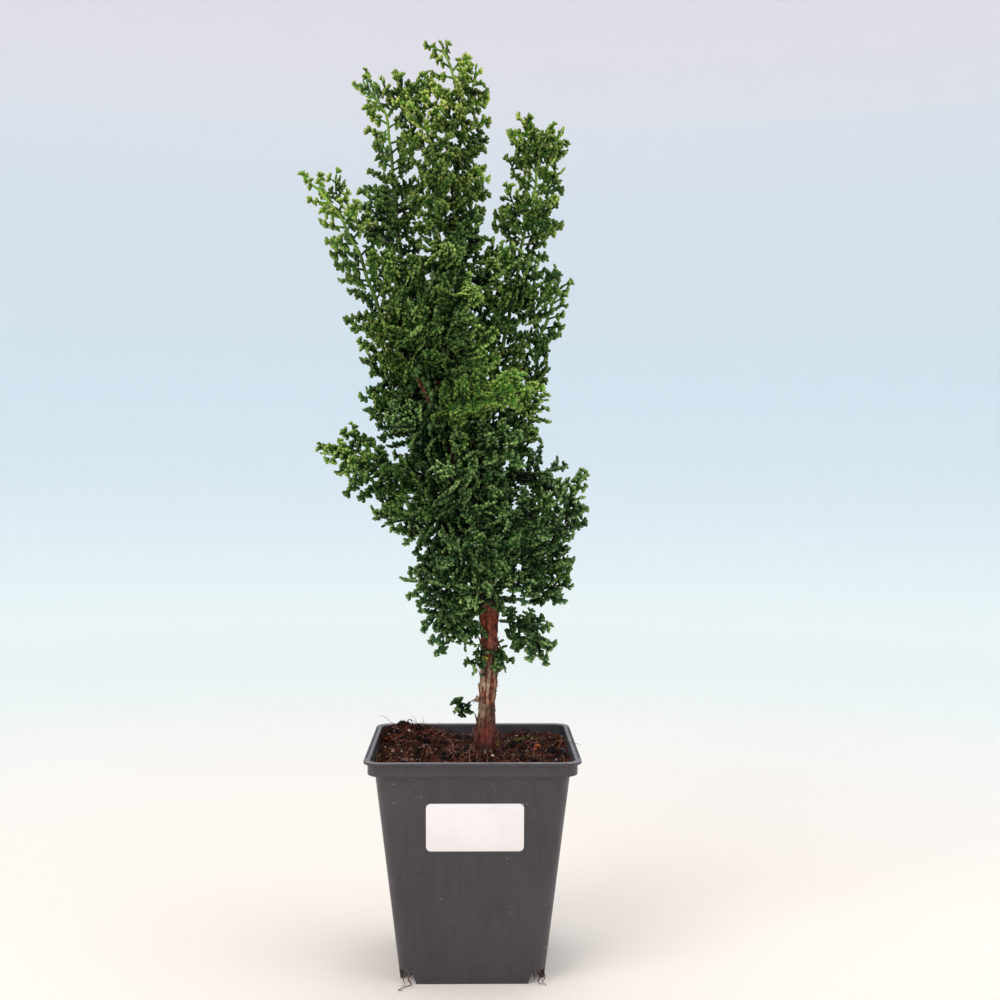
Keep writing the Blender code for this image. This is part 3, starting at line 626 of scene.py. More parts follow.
colour = blend(t, times(t, worn, 0.5), colour, paint(128, 124, 122))
# The pale film on faces that point up is partly dust and partly a painted highlight on the rim.
colour = blend(t, dust_and_highlight["Film"], colour, paint(170, 165, 168))
colour = blend(t, times(t, dust_and_highlight["Specks"], 0.6), colour, paint(190, 180, 168))
put(t, shader["Base Color"], colour)
rough = scaled(t, streaks["Mask"], 0.1, scaled(t, fine, 0.08, 0.34))
put(t, shader["Roughness"], scaled(t, dust_and_highlight["Film"], 0.3, rough))
relief = scaled(t, streaks["Height"], 0.6, times(t, speckle(t, place, 1400.0), 0.25))
relief = scaled(t, worn, -0.5, relief)
put(t, shader["Normal"], bump(t, relief, 0.35, 0.12 * MM))
pot.data.materials.append(pot_plastic)
print("nodes in the plastic:", len(t.nodes))

# %% [markdown]
# ### Ribs on the rim
#
# Fine ribs cross the top of the rim on its left and right sides, where stacked pots slide against each other. They
# repeat along a line, so a small node tree sets a row of copies along each side. The rib itself is one low bar
# with a sloping crown.

# %% Set the ribs along the rim
RIB_GAP = 1.6 * MM
RIB_SIZE = Vector((1.1, 0.5, 0.22)) * MM
RIB_CROWN = 0.42
HALF_DIAGONAL = 0.7071
rib_tree, given, result = new_group(
    "rim_ribs", "GeometryNodeTree",
    [("Line", SHAPE, None), ("Rib gap", NUMBER, RIB_GAP), ("Rib length", NUMBER, RIB_SIZE.x),
     ("Rib width", NUMBER, RIB_SIZE.y), ("Rib height", NUMBER, RIB_SIZE.z), ("Finish", FINISH, None)],
    [("Ribs", SHAPE)])
t = rib_tree
line = node(t, "GeometryNodeMeshToCurve", {"Mesh": given["Line"]}).outputs[0]
stations = node(t, "GeometryNodeCurveToPoints", {"Curve": line, "Length": given["Rib gap"]}, mode="LENGTH")
bar = node(t, "GeometryNodeMeshCone",
           {"Vertices": 4, "Radius Top": RIB_CROWN, "Radius Bottom": HALF_DIAGONAL, "Depth": 1.0}).outputs[0]
bar = node(t, "GeometryNodeTransform", {"Geometry": bar, "Rotation": (0, 0, math.pi / 4)}).outputs[0]
size = from_parts(t, given["Rib length"], given["Rib width"], given["Rib height"])
ribs = node(t, "GeometryNodeInstanceOnPoints",
            {"Points": stations.outputs[0], "Instance": bar, "Scale": size}).outputs[0]
put(t, result["Ribs"], finished(t, ribs, given["Finish"]))

rib_points, rib_edges = [], []
for side in (-1, 1):
    x = side * (RIM_WIDTH - RIB_SIZE.x * 1.6) / 2
    reach = RIM_WIDTH / 2 - 1.6 * RIM_CORNER
    rib_edges.append((len(rib_points), len(rib_points) + 1))
    rib_points += [HOME + Vector((x, y, POT_HEIGHT)) for y in (-reach, reach)]
rim_ribs = new_piece("rim_ribs", rib_points, edges=rib_edges)
grow(rim_ribs, rib_tree, {"Finish": pot_plastic})
keep(pot, "pot_plastic", "pot")
keep(rim_ribs, "pot_plastic")

# %% [markdown]
# ## The label
#
# A bare white sticker with round corners is pressed on the sloping front wall. It is drawn as a thin rounded plate
# and laid parallel to the wall. Its edge is rounded a little, so that it catches light as paper does. The paper is
# matt and slightly pink, with a fine felt texture, faint scuffs where the pot was handled, and fine hairlines.

# %% Make the label
LABEL_WIDTH = 40.4 * MM
LABEL_HEIGHT = 20.4 * MM
LABEL_THICKNESS = 0.3 * MM
LABEL_CORNER = 2 * MM
LABEL_CENTRE = Vector((1, 0, 68)) * MM
LABEL_EDGE = 0.09 * MM
LABEL_CORNER_STEPS = 8


def label_ring(inset, depth):
    half_width, half_height = LABEL_WIDTH / 2, LABEL_HEIGHT / 2
    ring = []
    for quarter, (x, y) in enumerate(((1, 1), (-1, 1), (-1, -1), (1, -1))):
        for step in range(LABEL_CORNER_STEPS + 1):
            angle = (quarter + step / LABEL_CORNER_STEPS) * math.pi / 2
            corner = LABEL_CORNER - inset
            ring.append(Vector((x * (half_width - LABEL_CORNER) + corner * math.cos(angle),
                                y * (half_height - LABEL_CORNER) + corner * math.sin(angle), depth)))
    return ring


wall_slope = math.atan2(body_half(LIP_BOTTOM) - body_half(0), LIP_BOTTOM)
lay = (Matrix.Translation(HOME + Vector((LABEL_CENTRE.x, -body_half(LABEL_CENTRE.z) - 0.02 * MM, LABEL_CENTRE.z)))
       @ Matrix.Rotation(math.pi / 2 + wall_slope, 4, "X"))
layers = [(0, 0), (0, LABEL_THICKNESS - LABEL_EDGE), (LABEL_EDGE * 0.35, LABEL_THICKNESS - LABEL_EDGE * 0.3),
          (LABEL_EDGE, LABEL_THICKNESS)]
label = stack("label_sticker", [[lay @ point for point in label_ring(*layer)] for layer in layers])
smooth_by_angle(label, math.radians(50))

label_paper, t, shader = new_material("label_paper")
place = object_place(t)
felt = soft_patches(t, place, 1100.0, 0.2)
scuffed = soft_patches(t, place, 70.0, 0.75)
hairs = use(t, scratches, Place=place, Scale=170.0, Slant=(0.2, 1.1, 0.4), Amount=0.35)["Mask"]
dust_and_highlight = use(t, dust_and_sheen, Place=place, Speck_scale=800.0, Film=0.2)
colour = blend(t, times(t, felt, 0.35), paint(247, 240, 239), paint(238, 229, 228))
colour = blend(t, times(t, scuffed, 0.12), colour, paint(214, 204, 200))
colour = blend(t, hairs, colour, paint(196, 186, 180))
colour = blend(t, times(t, dust_and_highlight["Specks"], 0.35), colour, paint(150, 130, 112))
put(t, shader["Base Color"], colour)
put(t, shader["Roughness"], scaled(t, scuffed, 0.12, 0.6))
put(t, shader["Normal"], bump(t, maths(t, "SUBTRACT", felt, hairs), 0.3, 0.03 * MM))
label.data.materials.append(label_paper)
keep(label, "label_paper", "label")

# %% [markdown]
# ## The peat
#
# The pot is filled with coarse fibrous peat, lower than the rim in front and heaped up at the back on the left and
# round the trunk. A flat disc with a bumpy finish would still look flat from the side. So the surface is a mesh of
# rings, from the pot's wall to the foot of the trunk. Each point takes its height from the plain soil below
# it, and gets clods, crumbs and small hollows from three sizes of noise.

# %% Shape the peat
SOIL_RINGS = 52
SOIL_EDGE_STEPS = 200
SHELF_RINGS = 4
SQUARENESS = 11
ROUNDNESS = 7
TRUNK_FOOT = Vector((5, -4, 0)) * MM
HUG_RADIUS = 4.2 * MM
HUG_REACH = 5 * MM
HUG_RISE = 1.6 * MM
PLUG_DEPTH = 6 * MM
BESIDE_HOLE = 7 * MM
BACK_HEAP = 1.6 * MM
CLOD_SIZE = 6.5 * MM
CRUMB_SIZE = 2.6 * MM
GRIT_SIZE = 1.0 * MM
soil_solid = solid_copy("soil")
soil_tree = BVHTree.FromBMesh(soil_solid)
soil_low, soil_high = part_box("soil")
shelf_half = LIP_WIDTH / 2 - WALL - 0.1 * MM
peat_half = (soil_high.x - soil_low.x) / 2 - 0.1 * MM


def plain_height(point):
    """Height of the plain soil below a place. Over the shelf and the hole it is that of the nearest soil."""
    near = Vector((point.x, point.y, 0)) - HOME
    spread_out = (abs(near.x) ** ROUNDNESS + abs(near.y) ** ROUNDNESS) ** (1 / ROUNDNESS)
    near *= min(1, (peat_half - 0.6 * MM) / max(spread_out, MM))
    from_trunk = near - TRUNK_FOOT
    if from_trunk.length < BESIDE_HOLE:
        near = TRUNK_FOOT + from_trunk.normalized() * BESIDE_HOLE
    hit = soil_tree.ray_cast(HOME + near + Vector((0, 0, soil_high.z + 10 * MM)), Vector((0, 0, -1)))[0]
    heap = min(1, max(0, (point.y - HOME.y) / peat_half))
    return hit.z + BACK_HEAP * heap ** 2


def crumbly(point):
    """Clods, crumbs and grit as one height."""
    clods = noise.noise(point / CLOD_SIZE) * 1.5 * MM
    crumbs = abs(noise.noise(point / CRUMB_SIZE + Vector((9, 0, 0)))) * 1.5 * MM
    grit = noise.noise(point / GRIT_SIZE + Vector((0, 7, 0))) * 0.4 * MM
    return clods + crumbs + grit


def square_ring(half, height):
    """Points round a square with soft corners, as far apart in angle as the others on the surface."""
    ring = []
    for number in range(SOIL_EDGE_STEPS):
        angle = 2 * math.pi * number / SOIL_EDGE_STEPS
        ray = Vector((math.cos(angle), math.sin(angle), 0))
        reach = half / (abs(ray.x) ** SQUARENESS + abs(ray.y) ** SQUARENESS) ** (1 / SQUARENESS)
        ring.append(HOME + ray * reach + Vector((0, 0, height)))
    return ring


shelf = square_ring(shelf_half, LIP_BOTTOM + WALL)
soil_rings = [square_ring(body_half(soil_low.z) - WALL - 0.3 * MM, soil_low.z),
              square_ring(peat_half - 0.2 * MM, LIP_BOTTOM + WALL - 0.6 * MM), shelf]
for ring in range(SOIL_RINGS + 1):
    share = (ring / SOIL_RINGS) ** 0.92
    points = []
    for outer in shelf:
        aside = (outer - HOME - TRUNK_FOOT).xy.normalized() * HUG_RADIUS
        inner = HOME + TRUNK_FOOT + Vector((aside.x, aside.y, 0))
        flat = Vector((outer.x, outer.y, 0)).lerp(inner, share)
        height = plain_height(flat) + crumbly(flat)
        height += HUG_RISE * max(0, 1 - (flat - inner).length / HUG_REACH) ** 2
        if ring < SHELF_RINGS:
            height = max(height, LIP_BOTTOM + WALL + 0.25 * MM)
        points.append(Vector((flat.x, flat.y, height)))
    soil_rings.append(points)
soil_rings.append([point - Vector((0, 0, PLUG_DEPTH)) for point in soil_rings[-1]])
print("rings on the peat:", len(soil_rings))

# %% [markdown]
# ### Finish of the peat
#
# Wet peat is nearly black, dry peat is red-brown, and the fibres in it are lighter and more orange. Soft patches
# of two sizes decide how dry a place is, and two layers of fine fibres cross each other over them. A thin green
# bloom of moss breaks up the brown.

# %% Finish the peat
peat, t, shader = new_material("peat")
place = object_place(t)
clods = soft_patches(t, place, 190.0, 0.55)
crumbs = soft_patches(t, place, 620.0, 0.5)
threads = use(t, fibres, Place=place, Across=1500.0, Along=260.0)
turned_place = node(t, "ShaderNodeVectorRotate", {"Vector": place, "Rotation": (0.4, 1.35, 0.5)},
                    rotation_type="EULER_XYZ").outputs[0]
crossing = use(t, fibres, Place=turned_place, Across=1300.0, Along=240.0)
moss = soft_patches(t, place, 95.0, 0.85)
colour = blend(t, clods, paint(10, 6, 5), paint(44, 20, 14))
colour = blend(t, times(t, crumbs, 0.5), colour, paint(84, 40, 28))
colour = blend(t, times(t, threads["Mask"], 0.25), colour, paint(134, 66, 42))
crossed = times(t, crossing["Mask"], threads["Mask"])
colour = blend(t, times(t, crossed, 0.45), colour, paint(26, 15, 12))
colour = blend(t, times(t, moss, times(t, crumbs, 0.14)), colour, paint(88, 92, 40))
put(t, shader["Base Color"], colour)
put(t, shader["Roughness"], scaled(t, crumbs, 0.2, 0.72))
shader["Specular IOR Level"].default_value = 0.08
relief = plus(t, crumbs, plus(t, threads["Height"], crossing["Height"]))
put(t, shader["Normal"], bump(t, relief, 0.9, 0.35 * MM))
soil = stack("peat_surface", soil_rings, peat)
smooth_by_angle(soil, math.radians(70))
inward = [0.0] * (3 * SOIL_EDGE_STEPS)
for ring in range(SOIL_RINGS + 1):
    inward += [ring / SOIL_RINGS] * SOIL_EDGE_STEPS
inward += [0.0] * SOIL_EDGE_STEPS
mark(soil, "inward", inward)
keep(soil, "peat", "soil")

# %% [markdown]
# ### Crumbs, fibres and straw in the peat
#
# What makes peat look like peat is the loose litter on it: crumbs, orange-brown fibres that stick out, a few pale
# straws and white grains, which also stand in as painted glints of light on the wet peat. There are hundreds of
# each, so a node tree scatters them over the peat. It is run once for each kind, with its own set of shapes,
# number, sizes and tilt. Every piece of litter has only a few faces.

# %% Model the litter
def tube_between(points, radii, sides):
    """Rings of a tube through points, each turned to follow the way."""
    rings = []
    side = None
    for number, point in enumerate(points):
        ahead = (points[min(number + 1, len(points) - 1)] - points[max(number - 1, 0)]).normalized()
        side = (side or ahead.orthogonal()).cross(ahead).cross(ahead).normalized()
        other = ahead.cross(side)
        ring = []
        for corner in range(sides):
            angle = 2 * math.pi * corner / sides
            ring.append(point + (side * math.cos(angle) + other * math.sin(angle)) * radii[number])
        rings.append(ring)
    return rings


def new_crumb(name, seed):
    """A lump with twenty faces, pushed out of shape."""
    shape = bmesh.new()
    bmesh.ops.create_icosphere(shape, subdivisions=1, radius=0.5 * MM)
    for point in shape.verts:
        point.co *= 1 + 0.7 * noise.noise(point.co / (0.45 * MM) + Vector((seed, 0, 0)))
        point.co.z *= 0.75
    return take_shape(new_piece(name, []), shape)


def new_fibre(name, seed, steps=7, thickness=0.15 * MM, length=8 * MM, wander=0.9):
    """A thin root that starts at the origin and wanders off along X."""
    points, place, aim = [], Vector((0, 0, 0)), Vector((1, 0, 0.25))
    for step in range(steps + 1):
        points.append(place.copy())
        drift = noise.noise_vector(Vector((seed * 3.7, step * 0.55, 0)))
        aim = (aim + drift * wander).normalized()
        place += aim * length / steps
    radii = [thickness * (1 - 0.6 * step / steps) for step in range(steps + 1)]
    return stack(name, tube_between(points, radii, 3))


def set_of(name, members):
    """A collection that a node tree picks its copies from. Its members aren't in the scene themselves."""
    collection = bpy.data.collections.new(name)
    for member in members:
        collection.objects.link(member)
        bpy.context.scene.collection.objects.unlink(member)
    return collection


crumb_set = set_of("crumbs", [new_crumb(f"crumb_{seed}", seed) for seed in range(4)])
fibre_set = set_of("fibre_shapes", [new_fibre(f"fibre_{seed}", seed) for seed in range(6)])
straw_set = set_of("straws", [new_fibre(f"straw_{seed}", seed + 20, steps=4, thickness=0.2 * MM, wander=0.12)
                              for seed in range(3)])
shred_set = set_of("shreds", [new_fibre(f"shred_{seed}", seed + 40, steps=3, thickness=0.3 * MM, length=5.5 * MM)
                              for seed in range(4)])
for shred in shred_set.objects:
    for point in shred.data.vertices:
        point.co.z *= 0.55

# %% Build the tree that scatters litter
litter_tree, given, result = new_group(
    "litter", "GeometryNodeTree",
    [("Ground", SHAPE, None), ("Shapes", SET, None), ("Kinds", COUNT, 4), ("Number", NUMBER, 100000.0),
     ("From wall", NUMBER, 0.04), ("Smallest", NUMBER, 0.5), ("Largest", NUMBER, 1.5), ("Tilt", NUMBER, 0.5),
     ("Sink", NUMBER, 0.0), ("Seed", COUNT, 1), ("Finish", FINISH, None)],
    [("Litter", SHAPE)])
t = litter_tree
seed = given["Seed"]
upward = upward_part(t, node(t, "GeometryNodeInputNormal").outputs[0])
open_ground = times(t, maths(t, "GREATER_THAN", upward, 0.2),
                    maths(t, "GREATER_THAN", recall(t, "inward"), given["From wall"]))
spots = node(t, "GeometryNodeDistributePointsOnFaces",
             {"Mesh": given["Ground"], "Selection": open_ground, "Density": given["Number"], "Seed": seed},
             distribute_method="RANDOM")
spot_points = store(t, spots.outputs["Points"], "shade", random_number(t, 0.0, 1.0, seed, 1))
any_way, other_way = (
    node(t, "FunctionNodeRandomValue", {0: (-1, -1, -1), 1: (1, 1, 1), "Seed": plus(t, seed, draw)},
         data_type="FLOAT_VECTOR").outputs[0] for draw in (2, 3))
up = vectors(t, "ADD", (0, 0, 1), vectors(t, "SCALE", any_way, given["Tilt"]))
turn = facing(t, "ZX", up, other_way)
size = random_number(t, 0.0, 1.0, seed, 4)
size = times(t, size, size)
size = spread(t, size, 0.0, 1.0, given["Smallest"], given["Largest"], smooth=False)
spot_points = node(t, "GeometryNodeSetPosition",
                   {"Geometry": spot_points, "Offset": from_parts(t, 0, 0, given["Sink"])}).outputs[0]
litter = picked_copies(t, spot_points, given["Shapes"], maths(t, "SUBTRACT", given["Kinds"], 1), plus(t, seed, 5),
                       {"Rotation": turn, "Scale": size})
put(t, result["Litter"], finished(t, litter, given["Finish"]))
print("nodes in the litter tree:", len(t.nodes))


def litter_finish(name, dark, light, roughness, contrast=3.0):
    """Each crumb or fibre has its own tone between two colours, with darker patches on it."""
    material, tree, shader = new_material(name)
    place = object_place(tree)
    tone = maths(tree, "POWER", attribute(tree, "shade"), contrast)
    colour = blend(tree, tone, paint(*dark), paint(*light))
    stained = soft_patches(tree, place, 900.0, 0.3)
    colour = blend(tree, times(tree, stained, 0.35), colour, paint(44, 26, 18))
    put(tree, shader["Base Color"], colour)
    put(tree, shader["Roughness"], scaled(tree, stained, 0.15, roughness))
    put(tree, shader["Normal"], bump(tree, speckle(tree, place, 2500.0), 0.6, 0.08 * MM))
    shader["Specular IOR Level"].default_value = 0.12
    return material


clod_finish = litter_finish("peat_clods", (7, 3, 3), (88, 42, 32), 0.6)
crumb_finish = litter_finish("peat_crumbs", (8, 3, 3), (150, 76, 60), 0.5)
shred_finish = litter_finish("peat_shreds", (52, 17, 12), (240, 158, 132), 0.45)
fibre_finish = litter_finish("peat_fibres", (66, 22, 16), (244, 168, 138), 0.4)
straw_finish = litter_finish("dry_straw", (168, 134, 84), (214, 190, 140), 0.55)
# Pale grains, partly real grains in the peat and partly painted glints of light on wet peat.
grain_and_glint_finish = litter_finish("white_grains_and_glints", (120, 84, 74), (246, 228, 220), 0.5, contrast=1.2)


def scatter(name, shapes, finish, **values):
    """Strews one kind of litter over the peat."""
    piece = new_piece(name, [])
    piece.data = soil.data.copy()
    sizes = {key.replace("_", " "): value for key, value in values.items()}
    grow(piece, litter_tree, {"Shapes": shapes, "Kinds": len(shapes.objects), "Finish": finish, **sizes})
    keep(piece, "peat")


scatter("peat_clods", crumb_set, clod_finish, Number=130000.0, Smallest=1.4, Largest=5.5, Tilt=0.8, Seed=11,
        From_wall=0.09, Sink=-0.1 * MM)
scatter("peat_crumbs", crumb_set, crumb_finish, Number=380000.0, Smallest=0.4, Largest=1.7, Tilt=0.8, Seed=21,
        From_wall=0.01)
scatter("peat_shreds", shred_set, shred_finish, Number=260000.0, Smallest=0.25, Largest=1.0, Tilt=0.8, Seed=61,
        From_wall=0.06, Sink=0.2 * MM)
scatter("peat_fibres", fibre_set, fibre_finish, Number=160000.0, Smallest=0.25, Largest=1.2, Tilt=0.55, Seed=31,
        From_wall=0.1)
scatter("peat_straws", straw_set, straw_finish, Number=5000.0, Smallest=0.25, Largest=0.8, Tilt=0.3, Seed=41,
        Sink=0.3 * MM)
# White grains: partly real grains, partly painted glints.
scatter("peat_grains", crumb_set, grain_and_glint_finish, Number=34000.0, Smallest=0.35, Largest=1.6, Tilt=0.5, Seed=51,
        Sink=0.9 * MM)

# %% [markdown]
# ### Roots, straws and lumps that catch the eye
#
# A few things in the peat stand out: a long root runs in an arc across the left half, others loop along the back
# wall, and some fibres reach over the rim. Scattered litter can't put them there, so each one is laid one by one.
# It is given by a few points seen from above, drops onto the peat, and becomes a thin tube. Black clods, pale
# pebbles and a tuft of moss are small lumps, laid the same way.

# %% Helpers that lay things on the peat
soil_shape = bmesh.new()
soil_shape.from_mesh(soil.data)
peat_tree = BVHTree.FromBMesh(soil_shape)
ABOVE_PEAT = 130
STRAND_SIDES = 5


def on_peat(x, y, lift):
    """A place above the peat, with x, y and the lift in mm. The middle of the pot is x = y = 0."""
    above = HOME + Vector((x, y, ABOVE_PEAT)) * MM
    return peat_tree.ray_cast(above, Vector((0, 0, -1)))[0] + Vector((0, 0, lift * MM))


def through(points, steps=4):
    """A smooth line through all the given points, with a slight waver."""
    line = []
    padded = [2 * points[0] - points[1], *points, 2 * points[-1] - points[-2]]
    for a, b, c, d in zip(padded, padded[1:], padded[2:], padded[3:]):
        for step in range(steps):
            u = step / steps
            line.append((2 * b + (c - a) * u + (2 * a - 5 * b + 4 * c - d) * u ** 2
                         + (3 * b - a - 3 * c + d) * u ** 3) / 2)
    line.append(points[-1])
    return [point + noise.noise_vector(point / (3 * MM)) * 0.4 * MM for point in line]


def laid_strands(name, strands, finish):
    """One piece of thin closed tubes. Each is given by its thickness in mm and its points."""
    shape = bmesh.new()
    shades = []
    for number, (thickness, points) in enumerate(strands):
        line = through(points)
        radii = [thickness / 2 * MM * (1 - 0.6 * step / len(line)) for step in range(len(line))]
        rings = [[shape.verts.new(point) for point in ring] for ring in tube_between(line, radii, STRAND_SIDES)]
        for low, high in zip(rings, rings[1:]):
            for corner in range(STRAND_SIDES):
                after = (corner + 1) % STRAND_SIDES
                shape.faces.new((low[corner], low[after], high[after], high[corner]))
        shape.faces.new(rings[0][::-1])
        shape.faces.new(rings[-1])
        for step in range(len(line)):
            shades += [0.5 + 0.5 * noise.noise(Vector((number * 3, step * 0.4, 0)))] * STRAND_SIDES
    piece = take_shape(new_piece(name, [], finish=finish), shape)
    mark(piece, "shade", shades)
    piece.data.shade_smooth()
    keep(piece, "peat")


def laid_lumps(name, lumps, finish, fineness=2):
    """One piece of small lumps. Each is given by its place on the peat, its lift and its radius, in mm."""
    shape = bmesh.new()
    shades = []
    for number, (x, y, lift, radius) in enumerate(lumps):
        middle = on_peat(x, y, lift)
        ball = bmesh.ops.create_icosphere(shape, subdivisions=fineness, radius=radius * MM)["verts"]
        for point in ball:
            point.co *= 1 + 0.55 * noise.noise(point.co / (0.8 * radius * MM) + Vector((number * 5, 0, 0)))
            point.co.z *= 0.7
            point.co += middle
        shades += [0.5 + 0.5 * noise.noise(Vector((number * 1.7, 4, 0)))] * len(ball)
    piece = take_shape(new_piece(name, [], finish=finish), shape)
    mark(piece, "shade", shades)
    keep(piece, "peat")


# %% Lay the roots and straws
def ground_line(lift, *places):
    """A line of places on the peat, which rises in the middle by the given lift in mm."""
    last = len(places) - 1
    return [on_peat(x, y, 0.3 + lift * math.sin(math.pi * number / last)) for number, (x, y) in enumerate(places)]


def free_line(*places):
    return [HOME + Vector(place) * MM for place in places]


root_finish = litter_finish("long_roots", (92, 36, 22), (196, 100, 58), 0.45)
wire_finish = litter_finish("grey_roots", (92, 84, 78), (176, 170, 160), 0.5)
sliver_finish = litter_finish("dark_slivers", (24, 26, 30), (96, 102, 110), 0.4)
laid_strands("long_roots", [
    (0.9, ground_line(1.5, (-42, 22), (-41, 30), (-37, 36), (-30, 37), (-24, 35))),
    (0.7, ground_line(2.2, (-40, 36), (-34, 31), (-30, 25), (-27, 18))),
    (1.0, ground_line(1.0, (-42, 28), (-38, 20), (-33, 17), (-28, 21))),
    (0.6, ground_line(2.6, (-36, 37), (-30, 35), (-22, 37), (-14, 34), (-9, 36))),
    (0.8, ground_line(1.6, (-20, 36), (-14, 31), (-8, 33), (-2, 29))),
    (0.7, ground_line(2.0, (8, 36), (14, 34), (20, 37), (28, 36), (34, 37))),
    (0.95, ground_line(2.0, (-40, -23), (-36, -10), (-32, -1), (-29, 13), (-25, 20), (-23, 22), (-17, 17))),
    (1.5, ground_line(1.5, (-38, 26), (-36, 18), (-32, 9), (-29, -1))),
    (0.8, ground_line(2.5, (-32, 28), (-29, 30), (-26, 22), (-23, 14))),
    (0.9, ground_line(2.0, (-22, 29), (-18, 30), (-16, 22), (-15, 10))),
    (0.9, ground_line(4.5, (13, 22), (17, 27), (21, 30), (24, 33), (27, 34), (29, 23))),
    (0.6, ground_line(2.0, (31, 19), (35, 24), (36, 14))),
    (0.6, ground_line(4.0, (36, 34), (36, 22), (35, 12))),
    (0.6, ground_line(3.0, (40, 33), (40, 19), (38, 8))),
    (1.3, ground_line(1.0, (27, -28), (29, -20), (32, -19), (34, -16))),
    (0.8, ground_line(1.5, (-39, 4), (-40, -12), (-39, -24), (-36, -33))),
    (0.8, ground_line(1.5, (-27, -27), (-23, -14), (-17, -17), (-13, -9))),
    (0.7, ground_line(1.5, (-13, -34), (-8, -30), (-4, -22), (-6, -14))),
    (0.8, ground_line(1.5, (14, -33), (18, -28), (23, -30), (25, -24))),
    (0.5, free_line((34, -38, 95), (36, -42.5, 98.2), (37.5, -45.8, 97.6), (38.3, -47.2, 96),
                    (38.9, -47.2, 94.3))),
    (0.4, free_line((38, -11, 95), (41, -13, 98), (44, -14, 98.2), (46.4, -14, 97.6))),
], root_finish)
laid_strands("pale_straws", [
    (1.3, ground_line(0.6, (-37, -38), (-36, -31), (-34, -22))),
    (0.8, ground_line(0.8, (-38, -16), (-36, -20), (-34, -25))),
    (0.6, ground_line(1.5, (-36, -8), (-35, -15), (-36, -22))),
    (0.7, ground_line(0.8, (-32, -22), (-30, -27), (-28, -30))),
    (0.35, ground_line(4.0, (28, 12), (29, 22), (30, 27), (33, 29))),
    (0.45, ground_line(1.5, (28, -7), (30, 8), (33, 18), (37, 19))),
    (0.45, ground_line(1.5, (13, -16), (15, -22), (14, -31))),
    (0.45, free_line((-23, 30, 94), (-22.6, 30, 98), (-23.2, 30, 101.5))),
    (0.4, free_line((-40, -30, 92), (-40.2, -29.6, 94.5), (-40, -29.4, 97))),
], straw_finish)
laid_strands("grey_roots", [
    (0.55, ground_line(2.5, (-13, 33), (-9, 33), (-5, 27), (-3, 22), (0, 24), (2, 20))),
    (0.5, ground_line(2.0, (10, 22), (12, 26), (14, 29), (15, 33))),
    (0.35, free_line((-36, 32, 97.5), (-40, 36, 99.6), (-42.5, 38, 100.3), (-44.5, 40, 100.2))),
], wire_finish)
laid_strands("dark_slivers", [
    (2.4, ground_line(1.4, (39, 4), (40, -6), (39.5, -16))),
    (1.8, ground_line(1.8, (37, -2), (38.5, -10), (38, -20))),
], sliver_finish)

# %% Lay the clods, the pebbles and the moss
pebble_finish = litter_finish("pebbles", (104, 78, 66), (186, 160, 140), 0.5)
black_finish = litter_finish("black_clods", (10, 7, 6), (40, 26, 22), 0.85)
moss_finish = litter_finish("moss", (92, 96, 34), (178, 178, 78), 0.7)
orange_finish = litter_finish("dry_leaf_bits", (176, 84, 36), (226, 150, 72), 0.5)
residue_finish = litter_finish("pale_residue", (150, 138, 146), (198, 188, 194), 0.8)
laid_lumps("black_clods", [
    (-37, 32, 1.2, 1.6), (-33, 33, 2.4, 1.9), (-30, 34, 1.0, 1.4), (-40, 29, 0.6, 1.3), (-35, 28, 0.6, 1.3),
    (26, 33, 0.9, 1.9), (22, 31, 0.6, 1.7), (30, 31, 0.5, 1.6), (-26, 18, 0.5, 2.0), (-21, 14, 0.4, 2.2),
    (-15, 20, 0.2, 2.2), (14, 8, 0.2, 2.2), (18, 12, 0.2, 2.5), (22, -10, 0.2, 2.4), (26, -15, 0.2, 2.2),
    (-24, -6, 0.2, 2.2), (-8, 6, 0.2, 2.3), (36, 2, 0.4, 2.0), (-33, -31, 0.3, 1.8), (34, -30, 0.3, 2.0),
    (-9, -26, 0.2, 2.1), (16, -22, 0.2, 2.2), (-20, -33, 0.2, 1.8), (7, 24, 0.3, 2.3), (-4, 30, 0.3, 2.0),
], black_finish)
laid_lumps("peat_pebbles", [
    (18, -3, 0.9, 1.5), (29, -3, 0.6, 1.2), (-29, -17, 0.9, 1.6), (-26, -18, 0.6, 1.1), (-21, 6, 1.0, 1.1),
    (24, 3, 0.5, 0.9), (-33, 12, 0.5, 1.2), (10, -27, 0.5, 0.9), (-15, -24, 0.5, 0.8), (33, 6, 0.6, 1.0),
    (35, -12, 0.5, 0.8), (-6, -33, 0.5, 0.8), (21, -33, 0.5, 0.7), (14, 24, 0.8, 1.3),
], pebble_finish)
MOSS = random.Random(7)
laid_lumps("moss", [
    (x + MOSS.gauss(0, 1.6), y + MOSS.gauss(0, 1.8), MOSS.uniform(0.4, 1.7), MOSS.uniform(0.3, 0.65))
    for x, y, count in ((21, 24, 34), (26, 27, 12), (10, 15, 9), (-34, 4, 8)) for _ in range(count)
], moss_finish, fineness=1)
laid_lumps("dry_leaf_bits", [
    (-12, -32, 0.8, 1.0), (-10.5, -33, 0.6, 1.1), (-9, -33, 0.5, 0.9), (29, 11, 1.4, 1.2), (28, 8, 0.9, 0.8),
], orange_finish)
laid_lumps("pale_residue", [(-1, -38.5, 0.5, 1.6), (2, -38.8, 0.5, 1.7), (5, -38.4, 0.3, 1.2)], residue_finish)

# %% [markdown]
# ## The trunk and its bark
#
# Hinoki bark is red-brown and splits into long upright strips, grey-tan where they have weathered. The plain trunk
# has the right bends and limbs but flat sides. Carving each strip by hand would take days, so the plain trunk is
# copied, remeshed fine and even, and smoothed. A node tree then pushes its surface in and out with a noise that is
# drawn out along the trunk. It stores how deep each point lies, and the finish darkens the cracks by it.

